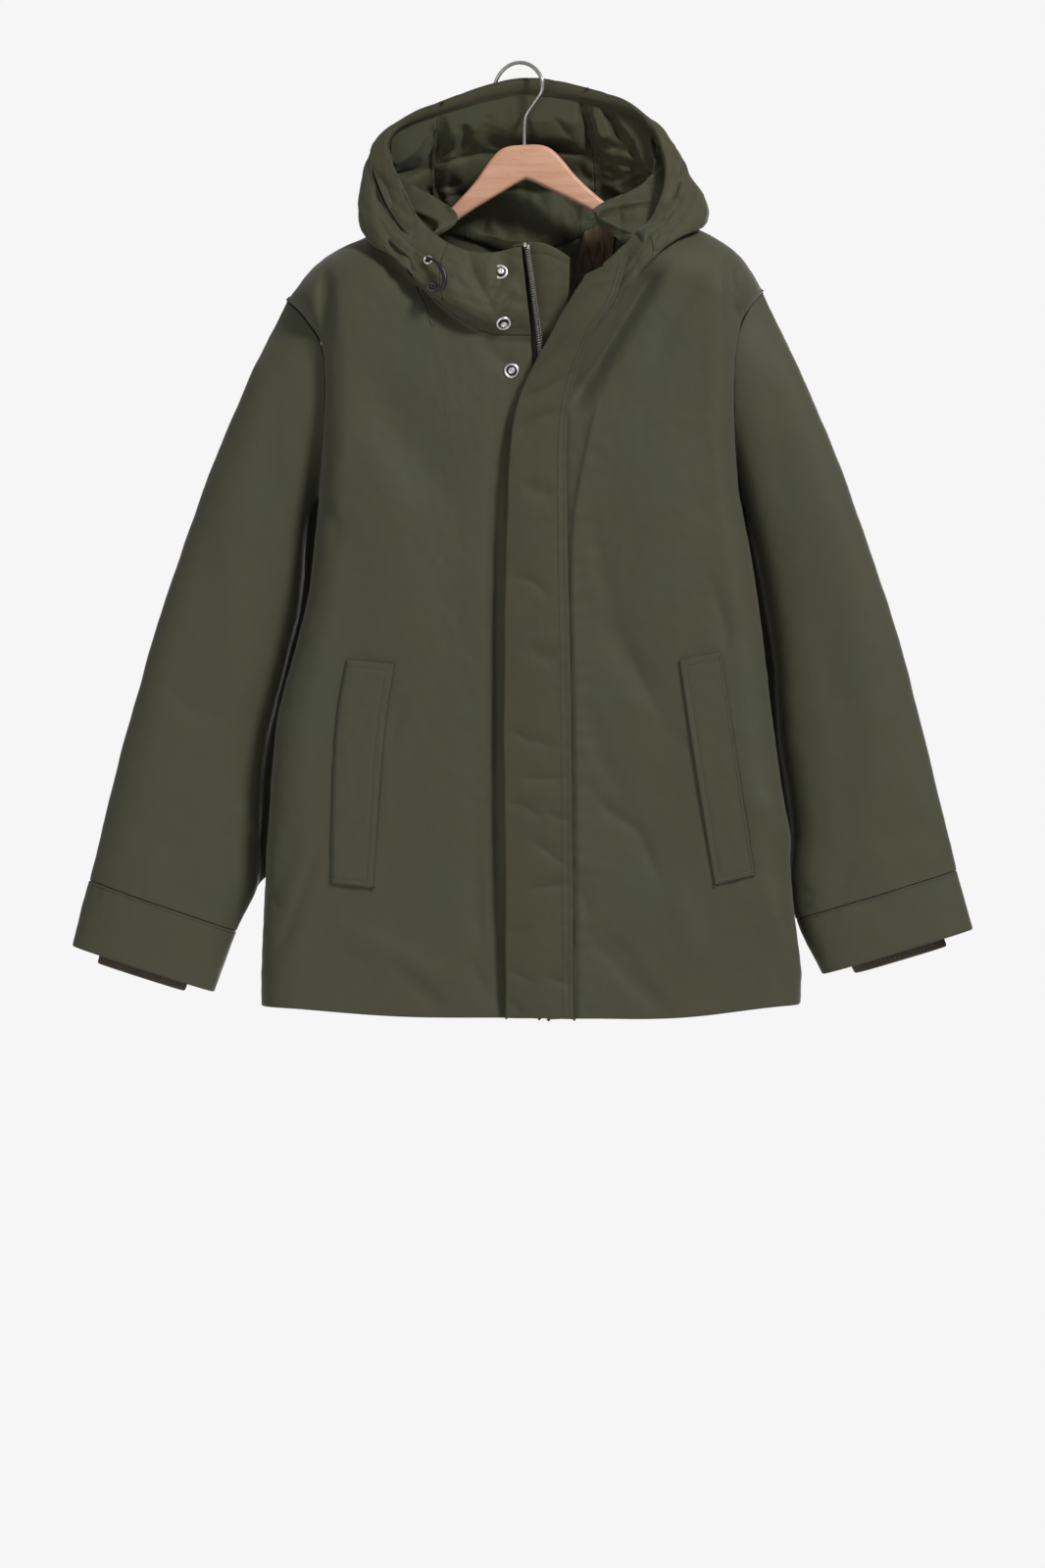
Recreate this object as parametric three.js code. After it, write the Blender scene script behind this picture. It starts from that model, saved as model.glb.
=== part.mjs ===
// A hooded, lightly padded parka on a wooden hanger, in millimetres, +Z up, -Y the front.
// The origin is the inside top of the hanger's steel hook, where a rail or peg carries it.
// Left and right are the wearer's: the wearer's right side lies at -X.
import * as THREE from "three";

// ---- Driving sizes -------------------------------------------------------------------
const SHELL = 2; // outer cloth with its light padding
const LINING = 1.2; // hood lining and other thin cloth
const LINING_DROP = 5; // from the hood's outer face in to its lining
const SEAM = 0.3; // gap left between two sewn pieces
const HANGER_X = 6; // the hanger's middle, a little off the hook's
const HANGER_TOP = -82;
const HANGER_TILT = THREE.MathUtils.degToRad(2.6);
const HANGER_THICK = 14;
const WIRE = 4; // hook wire's diameter
const HOOK_RADIUS = 28; // inside the hook's bend
const HOOK_TURN = THREE.MathUtils.degToRad(32);
const PLACKET_THICK = 3;
const WELT_THICK = 2.5;
const SNAP_RADIUS = 7.8;
const EYELET_RADIUS = 4.9;
const CORD = 3.2; // cord's diameter
const RIB_OUT = 9; // how far a rib cuff shows below its sleeve

const OLIVE = { color: 0x4c4c3e, roughness: 0.75, metalness: 0 };
const BROWN = { color: 0x3a3026, roughness: 0.55, metalness: 0 };
const RIB_KNIT = { color: 0x3a352c, roughness: 0.95, metalness: 0 };
const BLACK = { color: 0x161614, roughness: 0.5, metalness: 0.1 };
const STEEL = { color: 0xc8c6c2, roughness: 0.25, metalness: 1 };
const DARK_METAL = { color: 0x4a4845, roughness: 0.35, metalness: 1 };
const BEECH = { color: 0xc2987f, roughness: 0.5, metalness: 0 };

const parka = new THREE.Group();

/** Adds one piece to the parka. */
function piece(name, geometry, look) {
  const mesh = new THREE.Mesh(geometry, new THREE.MeshStandardMaterial(look));
  mesh.name = name;
  parka.add(mesh);
}

// ---- Curves through tables -----------------------------------------------------------
const mix = (a, b, share) => a + (b - a) * share;
const clamp01 = (x) => Math.min(1, Math.max(0, x));
const smooth = (x) => clamp01(x) ** 2 * (3 - 2 * clamp01(x));
const vec = (p) => new THREE.Vector3(p[0], p[1], p[2]);
const steps = (a, b, count) => Array.from({ length: count + 1 }, (_, i) => mix(a, b, i / count));

/** The value of a table's column at `at`, on a smooth curve through every row. */
function column(rows, name, at) {
  let i = rows.findIndex((row) => row.at > at) - 1;
  if (i < 0) i = at < rows[0].at ? 0 : rows.length - 2;
  const slope = (k) => {
    const a = rows[Math.max(0, k - 1)];
    const b = rows[Math.min(rows.length - 1, k + 1)];
    return (b[name] - a[name]) / (b.at - a.at);
  };
  const [p, q] = [rows[i], rows[i + 1]];
  const span = q.at - p.at;
  const t = clamp01((at - p.at) / span);
  const [t2, t3] = [t ** 2, t ** 3];
  return (
    (2 * t3 - 3 * t2 + 1) * p[name] +
    (t3 - 2 * t2 + t) * span * slope(i) +
    (3 * t2 - 2 * t3) * q[name] +
    (t3 - t2) * span * slope(i + 1)
  );
}
const inPlane = (rows, at) => [column(rows, "x", at), column(rows, "z", at)];
const inSpace = (rows, at) => ["x", "y", "z"].map((name) => column(rows, name, at));

// ---- Walls of cloth ------------------------------------------------------------------
/** The unit normal of a face, on the side that `out` (1 or -1) picks. */
function normalAt(face, u, v, out) {
  const d = 1e-4;
  const across = vec(face(u + d, v)).sub(vec(face(u - d, v)));
  const up = vec(face(u, v + d)).sub(vec(face(u, v - d)));
  return across.cross(up).normalize().multiplyScalar(out);
}

/** A closed wall between the faces `lift` and `lift - thick` mm out from face(u, v). */
function wall(face, { us, vs, thick = SHELL, lift = 0, out = 1, ring = false }) {
  const positions = [];
  const columns = us.length;
  for (const level of [lift, lift - thick])
    for (const v of vs)
      for (const u of us)
        positions.push(...vec(face(u, v)).addScaledVector(normalAt(face, u, v, out), level));
  const at = (layer, i, j) => (layer * vs.length + j) * columns + (i % columns);
  const indices = [];
  const quad = (a, b, c, d) => {
    if (out > 0) indices.push(a, b, c, a, c, d);
    else indices.push(a, c, b, a, d, c);
  };
  const lastColumn = ring ? columns : columns - 1;
  const lastRow = vs.length - 1;
  for (let i = 0; i < lastColumn; i++) {
    for (let j = 0; j < lastRow; j++) {
      quad(at(0, i, j), at(0, i + 1, j), at(0, i + 1, j + 1), at(0, i, j + 1));
      quad(at(1, i, j), at(1, i, j + 1), at(1, i + 1, j + 1), at(1, i + 1, j));
    }
    quad(at(1, i, 0), at(1, i + 1, 0), at(0, i + 1, 0), at(0, i, 0));
    quad(at(0, i, lastRow), at(0, i + 1, lastRow), at(1, i + 1, lastRow), at(1, i, lastRow));
  }
  for (let j = 0; j < lastRow && !ring; j++) {
    quad(at(0, 0, j), at(0, 0, j + 1), at(1, 0, j + 1), at(1, 0, j));
    quad(at(1, lastColumn, j), at(1, lastColumn, j + 1), at(0, lastColumn, j + 1), at(0, lastColumn, j));
  }
  const geometry = new THREE.BufferGeometry();
  geometry.setAttribute("position", new THREE.Float32BufferAttribute(positions, 3));
  geometry.setIndex(indices);
  return geometry;
}

/** The (u, v) where a face passes the place (x, z) as seen from the front. */
function locate(face, x, z, u = 0.5, v = 0.5) {
  const d = 1e-3;
  for (let round = 0; round < 40; round++) {
    const [p, pu, pv] = [face(u, v), face(u + d, v), face(u, v + d)];
    const [a, b, c, e] = [pu[0] - p[0], pv[0] - p[0], pu[2] - p[2], pv[2] - p[2]].map((n) => n / d);
    const det = a * e - b * c;
    u += THREE.MathUtils.clamp(((x - p[0]) * e - (z - p[2]) * b) / det, -0.1, 0.1);
    v += THREE.MathUtils.clamp(((z - p[2]) * a - (x - p[0]) * c) / det, -0.1, 0.1);
  }
  return [u, v];
}

// ---- Body: side seams, armholes, shoulders and centre edges ---------------------------
// Along a side from the hem up: the side seam, then from the armpit the armhole.
const ARMPIT = 0.66;
const SIDE_RIGHT = [
  { at: 0.0, x: -262, z: -959, seam: -12 },
  { at: 0.17, x: -258, z: -838, seam: -12 },
  { at: 0.4, x: -245, z: -672, seam: -10 },
  { at: 0.54, x: -215, z: -552, seam: -6 },
  { at: ARMPIT, x: -203, z: -440, seam: -3 },
  { at: 0.76, x: -197, z: -368, seam: 0 },
  { at: 0.85, x: -198, z: -298, seam: 0 },
  { at: 0.93, x: -216, z: -262, seam: 0 },
  { at: 1.0, x: -236, z: -241, seam: 0 },
];
const SIDE_LEFT = [
  { at: 0.0, x: 287, z: -957, seam: -12 },
  { at: 0.17, x: 277, z: -838, seam: -12 },
  { at: 0.4, x: 258, z: -669, seam: -10 },
  { at: 0.54, x: 243, z: -550, seam: -6 },
  { at: ARMPIT, x: 226, z: -440, seam: -3 },
  { at: 0.76, x: 219, z: -366, seam: 0 },
  { at: 0.85, x: 220, z: -292, seam: 0 },
  { at: 0.93, x: 233, z: -253, seam: 0 },
  { at: 1.0, x: 249, z: -232, seam: 0 },
];
const CENTRE_RIGHT = [
  { at: 0.0, x: 21, z: -971 },
  { at: 0.5, x: 20, z: -640 },
  { at: 0.85, x: 17, z: -370 },
  { at: 1.0, x: 13, z: -282 },
];
const CENTRE_LEFT = [
  { at: 0.0, x: 30, z: -972 },
  { at: 0.5, x: 28, z: -640 },
  { at: 0.85, x: 33, z: -364 },
  { at: 1.0, x: 57, z: -298 },
];
const CENTRE_BACK = [
  { at: 0.0, x: 12, z: -973 },
  { at: 1.0, x: 6, z: -180 },
];
// The shoulder line across the whole garment, by x; inside the neck it only guides the cloth.
const RIDGE = [
  { at: -236, z: -241 },
  { at: -205, z: -204 },
  { at: -153, z: -175 },
  { at: -104, z: -158 },
  { at: -60, z: -130 },
  { at: 0, z: -100 },
  { at: 60, z: -104 },
  { at: 112, z: -146 },
  { at: 184, z: -169 },
  { at: 226, z: -196 },
  { at: 249, z: -232 },
];
// How far the cloth stands forward and back at each height above the hem.
const DEPTH = [
  { at: 0, front: -64, back: 34 },
  { at: 0.3, front: -67, back: 38 },
  { at: 0.65, front: -69, back: 42 },
  { at: 1, front: -68, back: 44 },
];
const NECK_SHARE = 0.44; // of a front's top edge that is neckline
const BACK_NECK_SHARE = 0.42;
const SIDE_TURN = 0.14; // share of a panel's width that turns round the side
const TOP_TURN = 0.09; // share of its height that turns over the shoulder
const TURN_HEIGHT = 63; // below the shoulder line the cloth stands at its full depth
const FLAT = 0.62; // of a face's coordinate is spent before the turn
const SIDE_BULGE = 5;
const NECK_FLARE = 20; // how far the cloth spreads from the neck over the shoulder
const ARMHOLE = { front: -42, back: 36 }; // how far an armhole's halves stand from its middle

// The largest folds of the fronts: troughs have a positive depth.
const FRONT_FOLDS = [
  { x0: 63, z0: -339, x1: 110, z1: -258, wide: 12, deep: 14, soft: 20 },
  { x0: -197, z0: -222, x1: -195, z1: -275, wide: 8, deep: 7, soft: 30 },
  { x0: 215, z0: -212, x1: 218, z1: -264, wide: 8, deep: 7, soft: 30 },
  { x0: -4, z0: -940, x1: 0, z1: -400, wide: 18, deep: 5, soft: 60 },
];

/** How deep a straight, soft-ended crease is at (x, z). */
function crease(fold, x, z) {
  const [dx, dz] = [fold.x1 - fold.x0, fold.z1 - fold.z0];
  const length = Math.hypot(dx, dz);
  const along = ((x - fold.x0) * dx + (z - fold.z0) * dz) / length;
  const off = ((x - fold.x0) * dz - (z - fold.z0) * dx) / length;
  const ends = smooth((along + fold.soft) / fold.soft) * smooth((length + fold.soft - along) / fold.soft);
  return fold.deep * Math.exp(-((off / fold.wide) ** 2)) * ends;
}

/** The y of the front or back cloth at (x, z), `t` up from the hem. */
function clothDepth(plane, t, x, z) {
  const below = clamp01((column(RIDGE, "z", x) - z) / TURN_HEIGHT);
  const dips = plane === "front" ? FRONT_FOLDS.reduce((sum, fold) => sum + crease(fold, x, z), 0) : 0;
  return (column(DEPTH, plane, t) + dips) * Math.sqrt(1 - (1 - below) ** 2);
}

/** How far forward (front) or back (back) of its seam line the armhole runs at `t`. */
const armholeDepth = (plane, t) =>
  t <= ARMPIT ? 0 : ARMHOLE[plane] * Math.max(0, Math.sin((Math.PI * (t - ARMPIT)) / (1 - ARMPIT))) ** 0.7;

/** Half the gap along the seams that join fronts to backs. */
const apart = (plane) => (plane === "front" ? -SEAM / 2 : SEAM / 2);

/** Splits a coordinate into its place across the panel and how far the end has turned. */
function turned(t, share) {
  if (t <= FLAT) return [((1 - share) * t) / FLAT, 0];
  const angle = ((t - FLAT) / (1 - FLAT)) * (Math.PI / 2);
  return [1 - share + share * Math.sin(angle), 1 - Math.cos(angle)];
}

/** The place of a coordinate whose end doesn't turn. */
const straight = (t, share) => (t <= FLAT ? ((1 - share) * t) / FLAT : 1 - (share * (1 - t)) / (1 - FLAT));

/** The coordinate whose place across the panel is `place`: `turned` the other way. */
function unturned(place, share) {
  if (place <= 1 - share) return (place * FLAT) / (1 - share);
  return FLAT + (1 - FLAT) * (Math.asin(Math.min(1, (place - 1 + share) / share)) / (Math.PI / 2));
}

/** A point of half the body: u from its centre to the side, v from the hem to the top. */
function bodyFace({ side, centre, hem, plane, from, to, share }, u, v) {
  const [s, round] = turned(u, SIDE_TURN);
  const shoulder = smooth((s - share + 0.08) / 0.08);
  const t = mix(straight(v, TOP_TURN), turned(v, TOP_TURN)[0], shoulder);
  const [c, e, c1, e1] = [inPlane(centre, t), inPlane(side, t), inPlane(centre, 1), inPlane(side, 1)];
  const neck = inPlane(NECK, mix(from, to, clamp01(s / share)));
  const along = mix(neck[0], e1[0], clamp01((s - share) / (1 - share)));
  const top = s < share ? neck : [along, column(RIDGE, "z", along)];
  const outward = Math.sign(e[0] - c[0]);
  const [isFront, turnShare] = [plane === "front", clamp01((u - FLAT) / (1 - FLAT))];
  const bulge = (isFront ? SIDE_BULGE : 0) * Math.sin(Math.PI * turnShare) ** 2;
  const below = 1 - smooth((t - ARMPIT + 0.06) / 0.12);
  const high = clamp01((t - 0.88) / 0.12);
  const beside = Math.exp(-(((s - share * 0.96) / 0.11) ** 2));
  const flare = (isFront ? NECK_FLARE : 0) * beside * 4 * high * (1 - high);
  const lean = t ** 2 * (top[0] - mix(c1[0], e1[0], s));
  const x = mix(c[0], e[0], s) + lean + outward * (bulge * below + flare);
  const sag = (1 - t) ** 3 * hem * Math.sin(Math.PI * s) ** 2;
  const z = mix(c[1], e[1], s) + t ** 2 * (top[1] - mix(c1[1], e1[1], s)) - sag;
  const edge = column(side, "seam", t) + armholeDepth(plane, t);
  return [x, mix(clothDepth(plane, t, x, z), edge, round) + apart(plane), z];
}

// ---- Hood and collar: stations round the rim, from the right front to the left -------
// rim: the free edge; high and low: the cloth's bulge; neck: the seam to the body, whose
// depth is the body's own.
const HOOD = [
  { at: 0.0, rim: [3, -71, -191], high: [6, -77, -221], low: [10, -77, -256], neck: [13, -282] },
  { at: 0.07, rim: [-38, -72, -197], high: [-37, -83, -226], low: [-34, -86, -261], neck: [-30, -279] },
  { at: 0.14, rim: [-71, -66, -186], high: [-79, -81, -211], low: [-77, -85, -245], neck: [-67, -257] },
  { at: 0.22, rim: [-100, -51, -160], high: [-120, -62, -178], low: [-119, -78, -209], neck: [-96, -228] },
  { at: 0.3, rim: [-119, -34, -121], high: [-148, -36, -132], low: [-153, -48, -182], neck: [-109, -190] },
  { at: 0.36, rim: [-137, -14, -82], high: [-153, -2, -92], low: [-158, 4, -163], neck: [-104, -158] },
  { at: 0.395, rim: [-123, -6, -57], high: [-136, 10, -71], low: [-143, 34, -147], neck: [-86, -162] },
  { at: 0.43, rim: [-92, 2, -40], high: [-98, 16, -60], low: [-99, 52, -137], neck: [-62, -166] },
  { at: 0.5, rim: [1, 6, -12], high: [1, 19, -40], low: [3, 58, -128], neck: [6, -180] },
  { at: 0.57, rim: [82, 4, -25], high: [86, 18, -48], low: [91, 52, -131], neck: [72, -162] },
  { at: 0.605, rim: [120, -2, -41], high: [130, 12, -61], low: [143, 34, -145], neck: [92, -154] },
  { at: 0.64, rim: [141, -10, -67], high: [157, 2, -78], low: [184, 6, -153], neck: [112, -146] },
  { at: 0.71, rim: [149, -30, -111], high: [172, -30, -119], low: [187, -38, -168], neck: [125, -176] },
  { at: 0.79, rim: [137, -49, -153], high: [155, -56, -159], low: [158, -66, -184], neck: [129, -196] },
  { at: 0.86, rim: [119, -62, -176], high: [132, -72, -183], low: [134, -80, -205], neck: [117, -222] },
  { at: 0.93, rim: [103, -70, -191], high: [111, -80, -207], low: [107, -84, -235], neck: [93, -257] },
  { at: 1.0, rim: [85, -73, -208], high: [79, -80, -233], low: [67, -81, -268], neck: [57, -298] },
];
const HNP_RIGHT = 0.36; // where the shoulder seams meet the neck
const HNP_LEFT = 0.64;
const COLLAR_RIGHT_END = 0.14; // seams between the collar and the hood's panels
const COLLAR_LEFT_END = 0.86;
const CROWN_RIGHT = 0.44;
const CROWN_LEFT = 0.56;

const spread = (at, [x, y, z]) => ({ at, x, y, z });
const lengthwise = (name) => HOOD.map((row) => spread(row.at, row[name]));
const [RIM, HIGH, LOW] = ["rim", "high", "low"].map(lengthwise);
const NECK = HOOD.map((row) => ({ at: row.at, x: row.neck[0], z: row.neck[1] }));

/** A point of the neck seam. */
function neckAt(u) {
  const [x, z] = inPlane(NECK, u);
  return [x, clothDepth(u > HNP_RIGHT && u < HNP_LEFT ? "back" : "front", 1, x, z), z];
}

/** A point of the hood's outer face: u round the rim, w from the rim to the neck seam. */
function hoodFace(u, w) {
  const [rim, high, low] = [RIM, HIGH, LOW].map((table) => inSpace(table, u));
  const places = [0, 0.28, 0.72, 1];
  const rows = [rim, high, low, neckAt(u)].map(([x, y, z], i) => ({ at: places[i], x, y, z }));
  return inSpace(rows, w);
}

const FRONT_RIGHT = {
  side: SIDE_RIGHT,
  centre: CENTRE_RIGHT,
  hem: 4,
  plane: "front",
  from: 0,
  to: HNP_RIGHT,
  share: NECK_SHARE,
};
const FRONT_LEFT = {
  side: SIDE_LEFT,
  centre: CENTRE_LEFT,
  hem: 6,
  plane: "front",
  from: 1,
  to: HNP_LEFT,
  share: NECK_SHARE,
};
const BACK_RIGHT = {
  side: SIDE_RIGHT,
  centre: CENTRE_BACK,
  hem: 2,
  plane: "back",
  from: 0.5,
  to: HNP_RIGHT,
  share: BACK_NECK_SHARE,
};
const BACK_LEFT = { ...BACK_RIGHT, side: SIDE_LEFT, to: HNP_LEFT };

const frontRight = (u, v) => bodyFace(FRONT_RIGHT, u, v);
const frontLeft = (u, v) => bodyFace(FRONT_LEFT, u, v);
const back = (u, v) => (u < 0 ? bodyFace(BACK_RIGHT, -u, v) : bodyFace(BACK_LEFT, u, v));

// Where the walls' vertices fall, shared by the pieces that meet along a seam.
const TRIM = 0.0002; // of a panel's width or height, left off at its edges
const heights = [...steps(0, ARMPIT, 7), ...steps(ARMPIT, 1, 8).slice(1)];
const rowsUp = heights.map((t) => Math.min(1 - TRIM, unturned(t, TOP_TURN)));
const neckPlaces = [...steps(0, 1, 25), COLLAR_RIGHT_END, 0.5, COLLAR_LEFT_END].sort((a, b) => a - b);
/** A panel's columns: the neckline's from `from` to `to`, then the shoulder's and side's. */
function columnsOf(from, to, share) {
  const neck = neckPlaces.map((n) => (share * (n - from)) / (to - from));
  const top = neck.filter((s) => s > -1e-6 && s < share + 1e-6).sort((a, b) => a - b);
  const shoulder = steps(share, 1 - SIDE_TURN, 4).slice(1);
  return [...[...top, ...shoulder].map((s) => unturned(s, SIDE_TURN)), 0.72, 0.82, 0.91, 1 - TRIM];
}
const backRightColumns = columnsOf(0.5, HNP_RIGHT, BACK_NECK_SHARE).slice(1).map((u) => -u).reverse();
const backColumns = [...backRightColumns, ...columnsOf(0.5, HNP_LEFT, BACK_NECK_SHARE)];

const rightColumns = columnsOf(0, HNP_RIGHT, NECK_SHARE);
const leftColumns = columnsOf(1, HNP_LEFT, NECK_SHARE);
piece("front_right", wall(frontRight, { us: rightColumns, vs: rowsUp, out: -1 }), OLIVE);
piece("front_left", wall(frontLeft, { us: leftColumns, vs: rowsUp, out: 1 }), OLIVE);
piece("back_panel", wall(back, { us: backColumns, vs: rowsUp, out: -1 }), OLIVE);

// ---- Hood and collar pieces ------------------------------------------------------------
/** The stations from a to b, pulled in a little at both ends for the seams. */
function hoodColumns(a, b) {
  const inside = neckPlaces.filter((n) => n > a + 1e-6 && n < b - 1e-6);
  return [a + 3.6 * TRIM, ...inside, b - 3.6 * TRIM];
}
const hoodRows = [0, 0.12, 0.28, 0.46, 0.64, 0.8, 0.91];
const HOOD_PANELS = [
  { name: "collar_right", from: 0, to: COLLAR_RIGHT_END, sewn: 0.985 },
  { name: "hood_right", from: COLLAR_RIGHT_END, to: CROWN_RIGHT, sewn: 0.985 },
  { name: "hood_centre", from: CROWN_RIGHT, to: CROWN_LEFT, sewn: 0.99 },
  { name: "hood_left", from: CROWN_LEFT, to: COLLAR_LEFT_END, sewn: 0.95 },
  { name: "collar_left", from: COLLAR_LEFT_END, to: 1, sewn: 0.945 },
];
for (const { name, from, to, sewn } of HOOD_PANELS)
  piece(name, wall(hoodFace, { us: hoodColumns(from, to), vs: [...hoodRows, sewn] }), OLIVE);

// The lining hangs inside the hood, and a facing edges it along the rim.
const liningRows = [0.21, 0.28, 0.46, 0.52];
const inHood = (name, from, to, vs) =>
  piece(name, wall(hoodFace, { us: hoodColumns(from, to), vs, lift: -LINING_DROP, thick: LINING }), OLIVE);
inHood("hood_facing", COLLAR_RIGHT_END, COLLAR_LEFT_END, [0.03, 0.11, 0.19]);
inHood("hood_lining_right", COLLAR_RIGHT_END, CROWN_RIGHT, liningRows);
inHood("hood_lining_centre", CROWN_RIGHT, CROWN_LEFT, [...liningRows.slice(0, 3), 0.64, 0.8, 0.91]);
inHood("hood_lining_left", CROWN_LEFT, COLLAR_LEFT_END, liningRows);
const yoke = { us: backColumns.filter((u) => Math.abs(u) < 0.21), vs: steps(0.6, 0.93, 5) };
piece("neck_lining", wall(back, { ...yoke, out: -1, lift: -LINING_DROP, thick: LINING }), BROWN);

// ---- Sleeves ---------------------------------------------------------------------------
// Along each sleeve from the armhole to the cuff's end: its outer edge, its inner edge, and
// how far the cloth stands forward and back of them.
const CUFF = 0.9; // where the cuff band is sewn on
const SLEEVE_RIGHT = [
  { at: 0.0, x: -236, z: -241, xin: -203, zin: -440, yin: -3, front: 44, back: 38 },
  { at: 0.1, x: -258, z: -286, xin: -212, zin: -458, yin: 6, front: 46, back: 40 },
  { at: 0.2, x: -282, z: -338, xin: -217, zin: -490, yin: 12, front: 46, back: 40 },
  { at: 0.35, x: -322, z: -436, xin: -222, zin: -548, yin: 14, front: 44, back: 38 },
  { at: 0.5, x: -358, z: -540, xin: -238, zin: -620, yin: 14, front: 42, back: 36 },
  { at: 0.65, x: -389, z: -642, xin: -256, zin: -700, yin: 14, front: 40, back: 34 },
  { at: 0.8, x: -418, z: -752, xin: -264, zin: -790, yin: 10, front: 37, back: 32 },
  { at: 0.85, x: -428, z: -793, xin: -267, zin: -840, yin: 6, front: 35, back: 31 },
  { at: CUFF, x: -438, z: -832, xin: -288, zin: -884, yin: 2, front: 33, back: 30 },
  { at: 1.0, x: -455, z: -899, xin: -310, zin: -946, yin: -2, front: 31, back: 28 },
];
const SLEEVE_LEFT = [
  { at: 0.0, x: 249, z: -232, xin: 226, zin: -440, yin: -3, front: 44, back: 38 },
  { at: 0.1, x: 272, z: -280, xin: 232, zin: -458, yin: 6, front: 46, back: 40 },
  { at: 0.2, x: 297, z: -336, xin: 238, zin: -487, yin: 12, front: 46, back: 40 },
  { at: 0.35, x: 337, z: -438, xin: 249, zin: -540, yin: 14, front: 44, back: 38 },
  { at: 0.5, x: 372, z: -538, xin: 261, zin: -612, yin: 14, front: 42, back: 36 },
  { at: 0.65, x: 402, z: -642, xin: 267, zin: -697, yin: 14, front: 40, back: 34 },
  { at: 0.8, x: 431, z: -757, xin: 279, zin: -790, yin: 10, front: 37, back: 32 },
  { at: 0.85, x: 439, z: -789, xin: 284, zin: -828, yin: 6, front: 35, back: 31 },
  { at: CUFF, x: 447, z: -822, xin: 291, zin: -868, yin: 2, front: 33, back: 30 },
  { at: 1.0, x: 463, z: -882, xin: 310, zin: -928, yin: -2, front: 31, back: 28 },
];
const SLEEVE_MIDDLE = -2; // depth of a sleeve's outer edge
const CAP = 0.16; // the share of a sleeve that eases from the armhole into a tube

const rounded = (wave, power) => Math.sign(wave) * Math.abs(wave) ** power;

/** A ring of a plain sleeve: u runs from the outer edge over the front to the inner one. */
function sleeveRing(rows, u, v) {
  const value = (name) => column(rows, name, v);
  const [out, front] = [rounded(Math.cos(2 * Math.PI * u), 0.9), rounded(Math.sin(2 * Math.PI * u), 0.72)];
  const x = mix(value("xin"), value("x"), (out + 1) / 2);
  const z = mix(value("zin"), value("z"), (out + 1) / 2);
  const middle = mix(value("yin"), SLEEVE_MIDDLE, (out + 1) / 2);
  return [x, middle - front * value(u < 0.5 ? "front" : "back"), z];
}

/** A point of a body side's armhole, `u` as in sleeveRing. */
function armholeAt(side, u) {
  const t = mix(1, ARMPIT, 1 - Math.abs(1 - 2 * u));
  const [x, z] = inPlane(side, t);
  const plane = u < 0.5 ? "front" : "back";
  return [x, column(side, "seam", t) + armholeDepth(plane, t) + apart(plane), z];
}

/** A sleeve's face: u round it, v from the armhole to the cuff's end and straight on. */
const sleeveOf = (rows, side) => (u, v) => {
  const w = u - Math.floor(u);
  const share = 1 - smooth(v / CAP);
  const [ring, first, seam] = [sleeveRing(rows, w, v), sleeveRing(rows, w, 0), armholeAt(side, w)];
  const past = Math.max(0, v - 1) / 0.04;
  const before = sleeveRing(rows, w, 0.96);
  return ring.map((value, k) => value + share * (seam[k] - first[k]) + past * (value - before[k]));
};

const sleeveRows = [0.0016, 0.02, 0.05, 0.09, 0.14, ...steps(0.2, 0.82, 7), CUFF - 0.0003];
const around = steps(0, 1, 16);
const half = (from) => [from + TRIM, ...around.filter((u) => u > from && u < from + 0.5), from + 0.5 - TRIM];
const SLEEVES = [
  { hand: "right", rows: SLEEVE_RIGHT, side: SIDE_RIGHT, out: -1 },
  { hand: "left", rows: SLEEVE_LEFT, side: SIDE_LEFT, out: 1 },
];
for (const { hand, rows, side, out } of SLEEVES) {
  const face = sleeveOf(rows, side);
  piece(`sleeve_${hand}_front`, wall(face, { us: half(0), vs: sleeveRows, out }), OLIVE);
  piece(`sleeve_${hand}_back`, wall(face, { us: half(0.5), vs: sleeveRows, out }), OLIVE);
  const ring = { us: around.slice(0, -1), ring: true, out };
  piece(`cuff_band_${hand}`, wall(face, { ...ring, vs: [CUFF + 0.0003, 0.95, 1] }), OLIVE);
  // The rib starts just inside the sleeve and narrows to the wrist.
  const rib = (u, v) => {
    const [p, q] = [face(u, v), face(u + 0.5, v)];
    const narrow = mix(0.86, 0.62, smooth((v - 0.93) / 0.04));
    return p.map((value, k) => mix((value + q[k]) / 2, value, narrow));
  };
  const length = Math.hypot(rows.at(-1).x - rows.at(-2).x, rows.at(-1).z - rows.at(-2).z) / (1 - CUFF);
  const ribRows = [0.93, 0.95, 0.97, 0.985, 1 + RIB_OUT / length];
  piece(`rib_cuff_${hand}`, wall(rib, { ...ring, vs: ribRows }), RIB_KNIT);
}

// ---- Pocket welts ----------------------------------------------------------------------
// Corners as (x, z): centre bottom, side bottom, side top, centre top.
const WELTS = [
  { hand: "right", a: [-147, -839], b: [-189, -834], c: [-173, -608], d: [-125, -613] },
  { hand: "left", a: [198, -836], b: [238, -826], c: [204, -601], d: [162, -609] },
];
for (const { hand, ...corners } of WELTS) {
  const [front, out] = hand === "right" ? [frontRight, -1] : [frontLeft, 1];
  const [a, b, c, d] = ["a", "b", "c", "d"].map((name) => locate(front, ...corners[name]));
  const over = (p, q) => front(...[0, 1].map((k) => mix(mix(a[k], b[k], p), mix(d[k], c[k], p), q)));
  const shape = { us: steps(0, 1, 3), vs: steps(0, 1, 8), thick: WELT_THICK, lift: SEAM + WELT_THICK, out };
  piece(`pocket_welt_${hand}`, wall(over, shape), OLIVE);
}

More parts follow.
